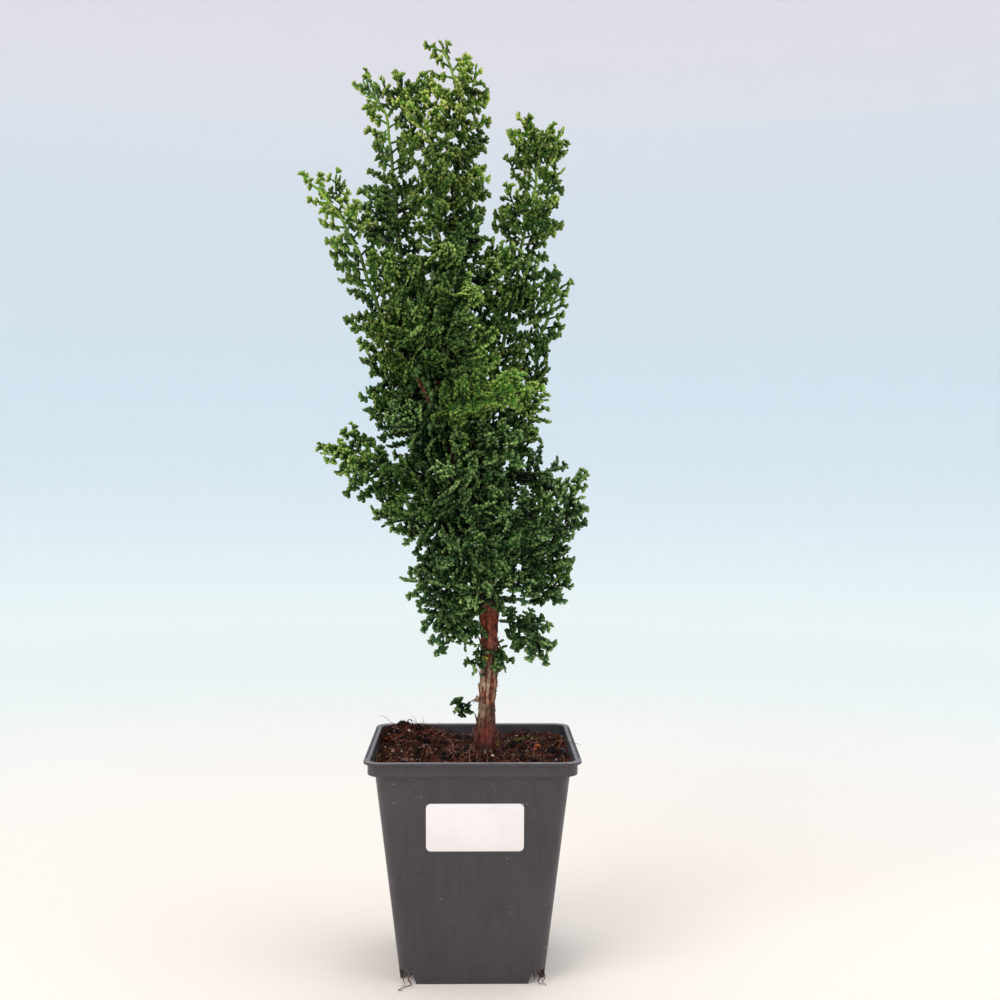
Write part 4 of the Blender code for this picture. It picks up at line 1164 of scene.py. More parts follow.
# %% Copy and refine the trunk
VOXEL = 0.55 * MM
TRUNK_LINE = [(5, -4, 70), (5, -4, 90), (7, -4, 133), (6, -3, 160), (3, -2, 188), (-5, 0, 215), (-15, 0, 244),
              (-17, 0, 268), (-14, 0, 284), (-11, 0, 303)]
trunk = new_piece("trunk_bark", [])
wood = solid_copy("trunk")
wood.to_mesh(trunk.data)
remesh = trunk.modifiers.new("even", "REMESH")
remesh.mode = "VOXEL"
remesh.voxel_size = VOXEL
relax = trunk.modifiers.new("relax", "SMOOTH")
relax.factor = 0.5
relax.iterations = 6
settle(trunk)
refined = trunk.data
corners = np.empty(len(refined.vertices) * 3)
refined.vertices.foreach_get("co", corners)
corners = corners.reshape(-1, 3)
line = np.array(TRUNK_LINE) * MM + np.array(HOME)
middle = np.stack([np.interp(corners[:, 2], line[:, 2], line[:, axis]) for axis in range(3)], axis=1)
grain = corners - middle
off_line = np.linalg.norm(grain[:, :2], axis=1)
grain[:, 2] = corners[:, 2]
refined.attributes.new("grain", "FLOAT_VECTOR", "POINT").data.foreach_set("vector", grain.ravel())
on_trunk = np.clip(1 - (off_line - 5 * MM) / (3 * MM), 0.3, 1)
low_down = np.clip((330 * MM - corners[:, 2]) / (150 * MM), 0.35, 1)
mark(trunk, "stout", on_trunk * low_down)
print("points on the refined trunk:", len(refined.vertices))

# %% Build the tree that makes bark
bark_tree, given, result = new_group(
    "bark_relief", "GeometryNodeTree",
    [("Trunk", SHAPE, None), ("Strip width", NUMBER, 1.5 * MM), ("Strip length", NUMBER, 15 * MM),
     ("Strip height", NUMBER, 0.95 * MM), ("Grit", NUMBER, 0.22 * MM), ("Finish", FINISH, None)],
    [("Bark", SHAPE)])
t = bark_tree
grain = recall(t, "grain", "FLOAT_VECTOR")
across = maths(t, "DIVIDE", 1.0, given["Strip width"])
along = maths(t, "DIVIDE", 1.0, given["Strip length"])
stretch = from_parts(t, across, across, along)
strips = speckle(t, vectors(t, "MULTIPLY", grain, stretch), 1.0, 2.0, 0.5)
plates = spread(t, strips, 0.4, 0.58, 0.0, 1.0)
finer = speckle(t, vectors(t, "MULTIPLY", grain, vectors(t, "SCALE", stretch, 2.7)), 1.0, 2.0, 0.5)
gritty = speckle(t, node(t, "GeometryNodeInputPosition").outputs[0], 1500.0, 2.0, 0.5)
depth = scaled(t, plates, 0.7, times(t, finer, 0.5))
bark = store(t, given["Trunk"], "depth", depth)
bark = store(t, bark, "strand", strips)
rise = times(t, maths(t, "SUBTRACT", depth, 0.95), given["Strip height"])
rise = scaled(t, maths(t, "SUBTRACT", gritty, 0.5), given["Grit"], rise)
rise = times(t, rise, recall(t, "stout"))
push = vectors(t, "SCALE", node(t, "GeometryNodeInputNormal").outputs[0], rise)
bark = node(t, "GeometryNodeSetPosition", {"Geometry": bark, "Offset": push}).outputs[0]
put(t, result["Bark"], finished(t, bark, given["Finish"], smooth=True))
print("nodes in the bark tree:", len(t.nodes))

# %% Finish the bark
DARK_FOOT = (98, 115)
WEATHERED_BAND = (101, 113, 125, 145)
RED_BAND = (134, 145, 156, 168)


def band(tree, height, low, full_from, full_to, high):
    """A mask that is full between two heights and fades out below and above them, all in mm."""
    return times(tree, spread(tree, height, low * MM, full_from * MM, 0.0, 1.0),
                 spread(tree, height, full_to * MM, high * MM, 1.0, 0.0))


def bark_colour(t, place, depth, strand):
    """Cracks, weathered strips and fresh red bark as one colour. The fibres come back too, for the relief."""
    threads = use(t, fibres, Place=place, Across=1900.0, Along=170.0)
    tones = soft_patches(t, place, 150.0, 0.4)
    height = upward_part(t, place)
    weathered = spread(t, strand, 0.45, 0.62, 0.0, 1.0)
    weathered = times(t, weathered, scaled(t, band(t, height, *WEATHERED_BAND), 0.7, 0.05))
    weathered = times(t, weathered, scaled(t, tones, 0.7, 0.6))
    patchy = soft_patches(t, place, 330.0, 0.75)
    rusty = soft_patches(t, place, 85.0, 0.8)
    red = maths(t, "MAXIMUM", band(t, height, *RED_BAND), times(t, rusty, 0.7))
    colour = blend(t, tones, paint(92, 44, 30), paint(150, 84, 56))
    colour = blend(t, times(t, patchy, 0.7), colour, paint(52, 28, 19))
    colour = blend(t, times(t, threads["Mask"], 0.45), colour, paint(80, 44, 30))
    foot = spread(t, height, DARK_FOOT[0] * MM, DARK_FOOT[1] * MM, 0.95, 0.0)
    colour = blend(t, foot, colour, blend(t, tones, paint(46, 12, 8), paint(120, 38, 26)))
    flecks = soft_patches(t, place, 560.0, 0.5)
    bright_red = blend(t, flecks, paint(70, 26, 16), paint(180, 78, 46))
    colour = blend(t, times(t, red, 0.9), colour, bright_red)
    weathered = times(t, weathered, scaled(t, flecks, 0.6, 0.4))
    colour = blend(t, weathered, colour, paint(206, 178, 146))
    crack = spread(t, depth, 0.12, 0.5, 0.85, 0.0)
    colour = blend(t, crack, colour, paint(38, 26, 19))
    return colour, threads


bark_finish, t, shader = new_material("bark")
place = object_place(t)
colour, threads = bark_colour(t, place, attribute(t, "depth"), attribute(t, "strand"))
put(t, shader["Base Color"], colour)
put(t, shader["Roughness"], scaled(t, threads["Mask"], 0.15, 0.68))
relief = scaled(t, speckle(t, place, 900.0), 0.8, threads["Height"])
put(t, shader["Normal"], bump(t, relief, 0.9, 0.35 * MM))
grow(trunk, bark_tree, {"Finish": bark_finish})
keep(trunk, "bark", "trunk")

# %% [markdown]
# ### Peeling strips
#
# On the lower trunk thin strips of bark have come loose and lift at their ends. They repeat over a surface, so a
# node tree scatters a few curled flakes over the bark, turns each one upright and lays it on its place. Each flake
# is a thin closed strip of few faces.

# %% Model the flakes
FLAKE_LENGTH = 9 * MM
FLAKE_WIDTH = 1.5 * MM
FLAKE_THICKNESS = 0.22 * MM


def new_flake(name, curl, lift, twist):
    """A thin strip along X that lies in the XY plane, narrows to its ends and curls up there."""
    steps, points, faces = 6, [], []
    for step in range(steps + 1):
        along = 2 * step / steps - 1
        half = FLAKE_WIDTH / 2 * (1 - 0.75 * abs(along) ** 2.5)
        height = curl * max(0, along) ** 2 + lift * max(0, -along) ** 2
        sway = twist * along * abs(along)
        for side, level in ((-1, 0), (1, 0), (1, 1), (-1, 1)):
            points.append(Vector((along * FLAKE_LENGTH / 2, side * half + sway, height + level * FLAKE_THICKNESS)))
    for low in range(0, 4 * steps, 4):
        for corner in range(4):
            after = (corner + 1) % 4
            faces.append((low + corner, low + after, low + 4 + after, low + 4 + corner))
    faces += [(0, 1, 2, 3), tuple(4 * steps + corner for corner in (3, 2, 1, 0))]
    return face_outwards(new_piece(name, points, faces))


flake_set = set_of("flakes", [
    new_flake("flake_a_up", 1.3 * MM, 0.1 * MM, 0.4 * MM),
    new_flake("flake_b_down", 0.1 * MM, 1.0 * MM, -0.3 * MM),
    new_flake("flake_c_both", 0.7 * MM, 0.5 * MM, 0.1 * MM),
])

# %% Scatter the flakes
flake_tree, given, result = new_group(
    "bark_flakes", "GeometryNodeTree",
    [("Trunk", SHAPE, None), ("Flakes", SET, None), ("Lowest", NUMBER, HOME.z + 88 * MM),
     ("Highest", NUMBER, 168 * MM), ("Gap", NUMBER, 1.3 * MM), ("Density", NUMBER, 260000.0),
     ("Smallest", NUMBER, 0.22), ("Largest", NUMBER, 1.0), ("Seed", COUNT, 4), ("Finish", FINISH, None)],
    [("Strips", SHAPE)])
t = flake_tree
height = upward_part(t, node(t, "GeometryNodeInputPosition").outputs[0])
inside = times(t, maths(t, "GREATER_THAN", height, given["Lowest"]),
               maths(t, "LESS_THAN", height, given["Highest"]))
inside = times(t, inside, maths(t, "GREATER_THAN", recall(t, "stout"), 0.75))
spots = node(t, "GeometryNodeDistributePointsOnFaces",
             {"Mesh": given["Trunk"], "Selection": inside, "Distance Min": given["Gap"],
              "Density Max": given["Density"], "Density Factor": 1.0, "Seed": given["Seed"]},
             distribute_method="POISSON")
spot_points = store(t, spots.outputs["Points"], "shade", random_number(t, 0.0, 1.0, given["Seed"]))
lean = random_number(t, -0.22, 0.22, given["Seed"], 1)
turn = facing(t, "ZX", spots.outputs["Normal"], from_parts(t, lean, lean, 1.0))
size = random_number(t, given["Smallest"], given["Largest"], given["Seed"], 2)
slim = random_number(t, 0.5, 1.1, given["Seed"], 3)
strips = picked_copies(t, spot_points, given["Flakes"], len(flake_set.objects) - 1, given["Seed"],
                       {"Rotation": turn, "Scale": from_parts(t, size, slim, size)})
put(t, result["Strips"], finished(t, strips, given["Finish"]))

flake_finish, t, shader = new_material("loose_bark")
place = object_place(t)
shade = attribute(t, "shade")
colour, threads = bark_colour(t, place, 1.0, scaled(t, shade, 0.3, 0.4))
put(t, shader["Base Color"], colour)
put(t, shader["Roughness"], scaled(t, threads["Mask"], 0.15, 0.7))
put(t, shader["Normal"], bump(t, threads["Height"], 0.6, 0.15 * MM))
bark_strips = new_piece("bark_strips", [])
bark_strips.data = trunk.data.copy()
grow(bark_strips, flake_tree, {"Flakes": flake_set, "Finish": flake_finish})
keep(bark_strips, "bark")

# %% [markdown]
# ## Sprigs of scale leaves
#
# A hinoki has no needles. Tiny scales press against its twigs, so each twig ends in blunt green fingers about two
# millimetres wide. One finger is a flattened tube that swells a little before its rounded tip. Three or four of
# them make a sprig, and a handful of sprigs is enough, because the tree turns and scales each copy differently.
# Every finger carries a number, "tip", that grows from 0 at its foot to 1 at its end, and colour follows it.

# %% Model the sprigs
FINGER_SIZE = Vector((3.3, 2.1, 1.35)) * MM
FINGER_RINGS = ((0.34, 0.82), (0.8, 0.98))


def add_finger(shape, tip_layer, foot, turn, size, sides):
    """One closed finger that starts at its foot and points along X, turned in the plane of the sprig."""
    aim = Matrix.Rotation(turn, 3, "Z") @ Vector((1, 0, 0))
    side = Vector((-aim.y, aim.x, 0))
    start = shape.verts.new(foot)
    end = shape.verts.new(foot + aim * size.x)
    end[tip_layer] = 1
    rings = []
    for along, swell in FINGER_RINGS:
        ring = []
        for corner in range(sides):
            angle = 2 * math.pi * (corner + 0.25 * sides) / sides
            across = side * math.cos(angle) * size.y / 2 + Vector((0, 0, math.sin(angle))) * size.z / 2
            point = shape.verts.new(foot + aim * size.x * along + across * swell)
            point[tip_layer] = along
            ring.append(point)
        rings.append(ring)
    for corner in range(sides):
        after = (corner + 1) % sides
        shape.faces.new((start, rings[0][after], rings[0][corner]))
        shape.faces.new((rings[0][corner], rings[0][after], rings[1][after], rings[1][corner]))
        shape.faces.new((rings[1][corner], rings[1][after], end))


def new_sprig(name, scale, side_fingers):
    """A long finger with shorter ones beside it. Each side finger is given as its place, turn and size."""
    shape = bmesh.new()
    tip_layer = shape.verts.layers.float.new("tip")
    add_finger(shape, tip_layer, Vector((0, 0, 0)), 0, FINGER_SIZE * scale, 4)
    for along, turn, size in side_fingers:
        foot = Vector((FINGER_SIZE.x * scale * along, 0, 0))
        add_finger(shape, tip_layer, foot, math.radians(turn), FINGER_SIZE * scale * size, 3)
    return take_shape(new_piece(name, []), shape)


sprig_set = set_of("sprigs", [
    new_sprig("sprig_a_hand", 1.0, [(0.0, 54, 0.86), (0.2, -50, 0.88), (0.46, 48, 0.7)]),
    new_sprig("sprig_b_left", 1.0, [(0.04, 52, 0.92), (0.3, -48, 0.82)]),
    new_sprig("sprig_c_right", 1.0, [(0.04, -54, 0.92), (0.32, 48, 0.82)]),
    new_sprig("sprig_d_slim", 1.08, [(0.18, -46, 0.84), (0.42, 42, 0.7)]),
])
broad_set = set_of("broad_sprigs", [
    new_sprig(f"broad_{number}", 1.7, [(0.15, 50 + 6 * number, 0.75), (0.3, -52, 0.7)]) for number in range(4)
])

# %% [markdown]
# ## A leafy stem
#
# Every branch follows one rule. Sprays leave the stem one after another, each turned a golden angle further round
# it, and on each spray the sprigs stand to the left and right in turn, like the fingers of an open hand. Near the
# top of the stem the sprays close up and get shorter. The upright leaders show their green stems at the front, so
# from a given age on no spray leaves towards the front there, and the foot of each spray is bare. A rule like this
# suits Geometry Nodes: one tree grows all the branches, and only the path of the stem and a few sizes differ.

# %% Start the leafy stem tree with the stem itself
NEVER_OPEN = 2.0
STEM_TIP = 0.73

stem_tree, given, result = new_group(
    "leafy_stem", "GeometryNodeTree",
    [("Path", SHAPE, None), ("Sprigs", SET, None), ("Finish", FINISH, None), ("Seed", COUNT, 0),
     ("Stem radius", NUMBER, 0.9 * MM), ("Stem shade", NUMBER, 0.5), ("Spray gap", NUMBER, 1.5 * MM),
     ("Spray length", NUMBER, 10 * MM), ("Short at foot", NUMBER, 0.8), ("Short at tip", NUMBER, 0.5),
     ("Opening", NUMBER, math.radians(62)), ("Closing", NUMBER, 0.8), ("Level", NUMBER, 0.0),
     ("Sprig gap", NUMBER, 1.4 * MM), ("Sprig size", NUMBER, 1.0), ("Open front from", NUMBER, NEVER_OPEN)],
    [("Leaves", SHAPE)])
t = stem_tree
seed = given["Seed"]
path = node(t, "GeometryNodeMeshToCurve", {"Mesh": given["Path"]}).outputs[0]
path = node(t, "GeometryNodeResampleCurve", {"Curve": path, "Length": 1.5 * MM}, mode="LENGTH").outputs[0]
age = node(t, "GeometryNodeSplineParameter").outputs["Factor"]
path = store(t, path, "age", age)
thin = spread(t, age, 0, 1, 1.0, 0.5, smooth=False)
stem = tube(t, path, times(t, given["Stem radius"], thin), 7)
stem = store(t, stem, "shade", given["Stem shade"])
stem = store(t, stem, "tip", times(t, given["Stem shade"], STEM_TIP))
print("nodes that make the stem:", len(t.nodes))

# %% Turn the sprays out from the stem
TO_FRONT = 0.62
joints = node(t, "GeometryNodeCurveToPoints", {"Curve": path, "Length": given["Spray gap"]}, mode="LENGTH")
ahead, normal = joints.outputs["Tangent"], joints.outputs["Normal"]
order = node(t, "GeometryNodeInputIndex").outputs[0]
angle = scaled(t, order, GOLDEN_ANGLE, random_number(t, -0.6, 0.6, seed))
outward = turned(t, normal, ahead, angle)
age = recall(t, "age")
closing = spread(t, age, 0.75, 1.0, 0.0, given["Closing"])
opening = times(t, given["Opening"], maths(t, "SUBTRACT", 0.95, closing))
opening = plus(t, opening, random_number(t, -0.16, 0.16, seed, 1))
aim = aimed(t, ahead, outward, opening)
face = turned(t, vectors(t, "CROSS_PRODUCT", outward, ahead), aim, random_number(t, -0.7, 0.7, seed, 2))
sideways = vectors(t, "CROSS_PRODUCT", (0, 0, 1), aim)
level_face = vectors(t, "SCALE", vectors(t, "CROSS_PRODUCT", aim, sideways), given["Level"])
face = vectors(t, "NORMALIZE", vectors(t, "ADD", face, level_face))
growing = spread(t, age, 0.0, 0.22, given["Short at foot"], 1.0)
ending = spread(t, age, 0.65, 1.0, 1.0, given["Short at tip"])
length = times(t, times(t, given["Spray length"], growing), ending)
length = times(t, length, random_number(t, 0.78, 1.15, seed, 3))
joint_points = store(t, joints.outputs["Points"], "face", face, "FLOAT_VECTOR")
joint_points = store(t, joint_points, "tone", random_number(t, 0.0, 1.0, seed, 11))
frontness = node(t, "ShaderNodeVectorMath", {0: outward, 1: (0, -1, 0)}, operation="DOT_PRODUCT").outputs["Value"]
to_front = maths(t, "GREATER_THAN", frontness, TO_FRONT)
left_open = times(t, to_front, maths(t, "GREATER_THAN", age, given["Open front from"]))

bow = node(t, "GeometryNodeCurveQuadraticBezier",
           {"Resolution": 8, "Start": (0, 0, 0), "Middle": (0.5, 0, 0), "End": (0.96, 0.12, 0.1)}).outputs[0]
turn = facing(t, "XZ", aim, face)
bend = times(t, length, random_number(t, -1.6, 1.6, seed, 4))
lift = times(t, length, random_number(t, -1.2, 1.6, seed, 5))
sprays = node(t, "GeometryNodeInstanceOnPoints",
              {"Points": joint_points, "Selection": maths(t, "LESS_THAN", left_open, 0.5), "Instance": bow,
               "Rotation": turn, "Scale": from_parts(t, length, bend, lift)}).outputs[0]
sprays = node(t, "GeometryNodeRealizeInstances", {"Geometry": sprays}).outputs[0]
sprays = node(t, "GeometryNodeResampleCurve", {"Curve": sprays, "Length": given["Sprig gap"]},
              mode="LENGTH").outputs[0]
parameter = node(t, "GeometryNodeSplineParameter")
sprays = store(t, sprays, "reach", parameter.outputs["Factor"])
sprays = store(t, sprays, "step", parameter.outputs["Index"])
reach = recall(t, "reach")
spray_tubes = tube(t, sprays, spread(t, reach, 0, 1, 0.62 * MM, 0.42 * MM, smooth=False), 3)
spray_tubes = store(t, spray_tubes, "shade", given["Stem shade"])
spray_tubes = store(t, spray_tubes, "tip", 0.4)
print("nodes with the sprays:", len(t.nodes))

# %% Set the sprigs along the sprays
knots = node(t, "GeometryNodeCurveToPoints", {"Curve": sprays}, mode="EVALUATED")
step = recall(t, "step")
face = recall(t, "face", "FLOAT_VECTOR")
ahead = knots.outputs["Tangent"]
parity = scaled(t, maths(t, "MODULO", step, 2.0), 2.0, -1.0)
side = vectors(t, "NORMALIZE", vectors(t, "CROSS_PRODUCT", face, ahead))
side = vectors(t, "SCALE", side, parity)
fold = spread(t, reach, 0.1, 0.98, math.radians(56), math.radians(30), smooth=False)
fold = times(t, fold, maths(t, "LESS_THAN", reach, 0.995))
fold = plus(t, fold, random_number(t, -0.2, 0.2, seed, 6))
aim = aimed(t, ahead, side, fold)
wobble = vectors(t, "SCALE", face, random_number(t, -0.34, 0.34, seed, 7))
aim = vectors(t, "ADD", aim, wobble)
turn = facing(t, "XZ", aim, face)
size = times(t, random_number(t, 0.78, 1.18, seed, 8), given["Sprig size"])
size = times(t, size, spread(t, recall(t, "age"), 0.7, 1.0, 1.0, 0.8))
first_step = plus(t, maths(t, "GREATER_THAN", recall(t, "age"), given["Open front from"]), 0.5)
shade = scaled(t, recall(t, "tone"), 0.6, random_number(t, 0.0, 0.4, seed, 10))
knot_points = store(t, knots.outputs["Points"], "shade", shade)
sprigs = picked_copies(t, knot_points, given["Sprigs"], len(sprig_set.objects) - 1, plus(t, seed, 9),
                       {"Selection": maths(t, "GREATER_THAN", step, first_step), "Rotation": turn, "Scale": size})

everything = node(t, "GeometryNodeJoinGeometry")
for part in (stem, spray_tubes, sprigs):
    t.links.new(part, everything.inputs[0])
put(t, result["Leaves"], finished(t, everything.outputs[0], given["Finish"], smooth=True))
print("nodes in the leafy stem tree:", len(t.nodes))

# %% [markdown]
# ## The path of every stem
#
# The plain model already says where each branch grows. Its path could be drawn again by hand, but that is slow and
# would drift from the model. Instead each plain branch is cut into thin shells round the place where it leaves
# the wood. The middle of each shell is one point of the path, and a light smoothing takes the jitter out.

# %% Read the paths from the plain branches
wood_tree = BVHTree.FromBMesh(wood)


def branch_path(cad_node, step):
    """Points along the middle of a plain branch, from the wood to its tip."""
    shape = solid_copy(cad_node)
    bmesh.ops.triangulate(shape, faces=shape.faces)
    corners = np.array([point.co[:] for point in shape.verts])
    shape.verts.index_update()
    triangles = np.array([[point.index for point in face.verts] for face in shape.faces])
    shape.free()
    from_wood = [wood_tree.find_nearest(Vector(corner))[3] for corner in corners]
    foot = corners[np.argsort(from_wood)[:6]].mean(axis=0)
    a, b, c = (corners[triangles[:, index]] for index in range(3))
    area = np.linalg.norm(np.cross(b - a, c - a), axis=1) / 2
    middle = (a + b + c) / 3
    reach = np.linalg.norm(middle - foot, axis=1)
    line = [foot]
    low = step
    while low < reach.max():
        weight = np.exp(-(((reach - low) / (0.5 * step)) ** 2)) * area
        line.append((middle * weight[:, None]).sum(axis=0) / weight.sum())
        low += step
    line = np.array(line)
    if len(line) > 3:
        line[1:-1] = (line[:-2] + 2 * line[1:-1] + line[2:]) / 4
    return line


print("points on the path of the top leader:", len(branch_path("leader_top", 5 * MM)))

# %% [markdown]
# ## The finish of the leaves
#
# The leaves have one finish in four greens. Old leaves inside the crown are dark, and new growth is yellow-green,
# lightest at the tips. The dark at the foot of each finger and spray is partly painted shade, and the light tips
# are partly a painted highlight. Here and there the foliage has a cooler, bluish green. One picture of a leaf
# wouldn't fit thousands of fingers, so the effect is a node group with the greens as inputs. It reads the numbers
# that the
# stems carry: "tip" along each finger, "shade" for each sprig and "reach" along each spray.

# %% Finish the leaves
scale_leaf, given, result = new_group(
    "scale_leaf", "ShaderNodeTree",
    [PLACE, ("Deep", PAINT, paint(30, 44, 18)), ("Fresh", PAINT, paint(96, 116, 56)),
     ("Cool", PAINT, paint(70, 100, 70)), ("Tip", PAINT, paint(160, 176, 92)), ("Old", PAINT, paint(50, 80, 34))],
    [("Color", PAINT), ("Roughness", NUMBER), ("Height", NUMBER)])
t = scale_leaf
tip, shade, age, reach = (attribute(t, name) for name in ("tip", "shade", "age", "reach"))
cloud = spread(t, speckle(t, given["Place"], 160.0), 0.3, 0.7, -0.3, 0.3)
# How far a place is from the Deep green: the age of the leaves, and painted shade that darkens the foot of each
# finger and spray.
growth_and_shade = scaled(t, tip, 0.7, times(t, shade, 0.35))
growth_and_shade = plus(t, scaled(t, reach, 0.25, cloud), growth_and_shade)
cool = spread(t, speckle(t, given["Place"], 38.0), 0.44, 0.62, 0.0, 0.85)
young = spread(t, scaled(t, cloud, 0.3, age), 0.5, 0.95, 0.0, 1.0)
fresh = blend(t, young, given["Old"], blend(t, cool, given["Fresh"], given["Cool"]))
colour = blend(t, spread(t, growth_and_shade, 0.12, 0.95, 0.0, 1.0), given["Deep"], fresh)
# The Tip colour: new growth, and a painted highlight on the ends of the fingers.
new_tips_and_highlight = times(t, spread(t, tip, 0.4, 0.9, 0.0, 1.0), scaled(t, shade, 0.85, 0.3))
new_tips_and_highlight = times(t, new_tips_and_highlight, maths(t, "SUBTRACT", 1.0, times(t, cool, 0.35)))
new_tips_and_highlight = times(t, new_tips_and_highlight, scaled(t, young, 0.7, 0.3), use_clamp=True)
colour = blend(t, new_tips_and_highlight, colour, given["Tip"])
rows = maths(t, "SINE", times(t, tip, 2 * math.pi * 3.5))
joint_mask = spread(t, rows, -1.0, -0.45, 1.0, 0.0)
rusty = times(t, joint_mask, spread(t, speckle(t, given["Place"], 420.0), 0.56, 0.68, 0.0, 0.2))
colour = blend(t, times(t, joint_mask, 0.35), colour, given["Deep"])
colour = blend(t, rusty, colour, paint(104, 72, 40))
put(t, result["Color"], colour)
put(t, result["Roughness"], spread(t, shade, 0.0, 1.0, 0.42, 0.58))
put(t, result["Height"], scaled(t, rows, 0.5, speckle(t, given["Place"], 900.0)))


def leaf_material(name, deep, old, fresh, cool, tip_colour):
    material, tree, shader = new_material(name)
    leaf = use(tree, scale_leaf, Place=object_place(tree), Deep=paint(*deep), Old=paint(*old), Fresh=paint(*fresh),
               Cool=paint(*cool), Tip=paint(*tip_colour))
    put(tree, shader["Base Color"], leaf["Color"])
    put(tree, shader["Roughness"], leaf["Roughness"])
    put(tree, shader["Normal"], bump(tree, leaf["Height"], 0.9, 0.3 * MM))
    shader["Specular IOR Level"].default_value = 0.14
    return material


# Each green ends in its Tip colour, partly new growth and partly a painted highlight; its Deep green is partly
# painted shade.
leaf_light = leaf_material(
    "leaf_light", (11, 24, 5), (60, 98, 36), (108, 154, 42), (92, 142, 60), (238, 245, 130))
leaf_fresh = leaf_material(
    "leaf_fresh", (12, 27, 6), (64, 106, 38), (100, 156, 48), (92, 150, 60), (224, 242, 120))
leaf_mid = leaf_material(
    "leaf_mid", (9, 21, 5), (50, 86, 32), (74, 116, 36), (68, 112, 66), (200, 226, 120))
leaf_dark = leaf_material(
    "leaf_dark", (8, 19, 6), (46, 80, 36), (68, 108, 46), (64, 104, 70), (186, 216, 130))
print("nodes in the leaf effect:", len(scale_leaf.nodes))

# %% [markdown]
# ## Growing the branches
#
# The leaders are the upright shoots at the top, yellow-green and slender. The crown below them is a crowd of short
# side branches, darker and denser. Each plain branch is replaced by its own leafy stem. The path stops a little
# short of the plain tip, because the last sprigs reach past the end of the path. A stem makes up to eleven draws
# from its seed, so the seeds lie twenty apart and no two stems are alike.

# %% Sort the branches
LEADERS = ["leader_top", "leader_left", "leader_left_fork", "leader_far_left", "leader_right", "leader_far_right"]
BRANCHES = ["branch_front", "branch_left", "branch_right", "branch_low_left", "branch_drooping",
            "branch_low_right"]
SPROUTS = ["sprout_trunk_left", "sprout_trunk_right", "sprout_base"]
BUSHES = [f"bush_{number:02d}" for number in range(1, 32)]
LIGHT_LEAVES = set(LEADERS + ["branch_front"]) - {"leader_far_right"}
DARK_LEAVES = {"branch_right", "branch_low_left", "branch_drooping", "branch_low_right"} | set(BUSHES[:15])
SPRAYS = {"leader_top": 11.5, "leader_left": 11, "leader_left_fork": 10.5, "leader_far_left": 12,
          "leader_right": 12.5, "leader_far_right": 7, "branch_low_left": 12, "branch_low_right": 10.5,
          "branch_left": 11}
SHORT_AT_FOOT = {"branch_right": 0.5, "branch_low_right": 0.3}
OPEN_FRONT = {"leader_top": 0.78, "leader_left": 0.55, "leader_left_fork": 0.8, "leader_far_left": 0.3,
              "leader_right": 0.2, "leader_far_right": 0.7}
FINISHES = {"branch_front": leaf_fresh, **{name: leaf_dark for name in SPROUTS}}
print("branches to grow:", len(LEADERS + BRANCHES + SPROUTS + BUSHES))

# %% Grow every branch
TIP_TRIM = 4.5 * MM
PATH_STEP = 2 * MM
SEED_STEP = 20


def trimmed(line, cut):
    """The same path, shorter by a given length at its tip, but never by more than three fifths."""
    lengths = np.linalg.norm(np.diff(line, axis=0), axis=1)
    distance = np.concatenate([[0], np.cumsum(lengths)])
    end = max(distance[-1] - cut, distance[-1] * 0.4)
    samples = np.linspace(0, end, max(4, int(end / PATH_STEP)))
    return np.stack([np.interp(samples, distance, line[:, axis]) for axis in range(3)], axis=1)


def leafy_stems(name, lines, slot, seed, sizes, *replaced):
    """One piece with a leafy stem along each line of points."""
    points, edges = [], []
    for line in lines:
        edges += [(len(points) + index, len(points) + index + 1) for index in range(len(line) - 1)]
        points += list(line)
    piece = new_piece(name, points, edges=edges)
    finish = {"leaf_light": leaf_light, "leaf_mid": leaf_mid, "leaf_dark": leaf_dark}[slot]
    grow(piece, stem_tree, {"Sprigs": sprig_set, "Finish": finish, "Seed": seed, **sizes})
    keep(piece, slot, *replaced)


def grow_branch(cad_node, seed, step=5 * MM, trim=TIP_TRIM, **sizes):
    """Replaces one plain branch by a leafy stem."""
    line = trimmed(branch_path(cad_node, step), trim)
    slot = "leaf_mid"
    if cad_node in LIGHT_LEAVES:
        slot = "leaf_light"
    elif cad_node in DARK_LEAVES:
        slot = "leaf_dark"
    if cad_node in FINISHES:
        sizes["Finish"] = FINISHES[cad_node]
    if cad_node in SPRAYS:
        sizes["Spray length"] = SPRAYS[cad_node] * MM
    leafy_stems(f"{cad_node}_leaves", [line], slot, seed, sizes, cad_node)


for number, name in enumerate(LEADERS):
    sizes = {"Stem radius": 1.05 * MM, "Stem shade": 0.75, "Opening": math.radians(66), "Closing": 0.55,
             "Short at tip": 0.7, "Open front from": OPEN_FRONT[name]}
    grow_branch(name, 100 + SEED_STEP * number, trim=7 * MM, **sizes)
for number, name in enumerate(BRANCHES):
    sizes = {"Stem radius": 0.8 * MM, "Spray length": 9.5 * MM, "Spray gap": 1.3 * MM, "Level": 0.6}
    if name in SHORT_AT_FOOT:
        sizes["Short at foot"] = SHORT_AT_FOOT[name]
    grow_branch(name, 300 + SEED_STEP * number, **sizes)
for number, name in enumerate(BUSHES):
    sizes = {"Stem radius": 0.8 * MM, "Stem shade": 0.2, "Spray length": 12.5 * MM, "Spray gap": 1.35 * MM,
             "Short at foot": 1.0, "Level": 1.0}
    grow_branch(name, 500 + SEED_STEP * number, **sizes)
for number, name in enumerate(SPROUTS):
    sizes = {"Stem radius": 0.4 * MM, "Spray length": 3.4 * MM, "Spray gap": 1.0 * MM, "Sprig gap": 1.0 * MM,
             "Sprig size": 0.95, "Short at foot": 1.0}
    trim = 4 * MM if name == "sprout_base" else 1 * MM
    grow_branch(name, 1200 + SEED_STEP * number, step=1.5 * MM, trim=trim, **sizes)
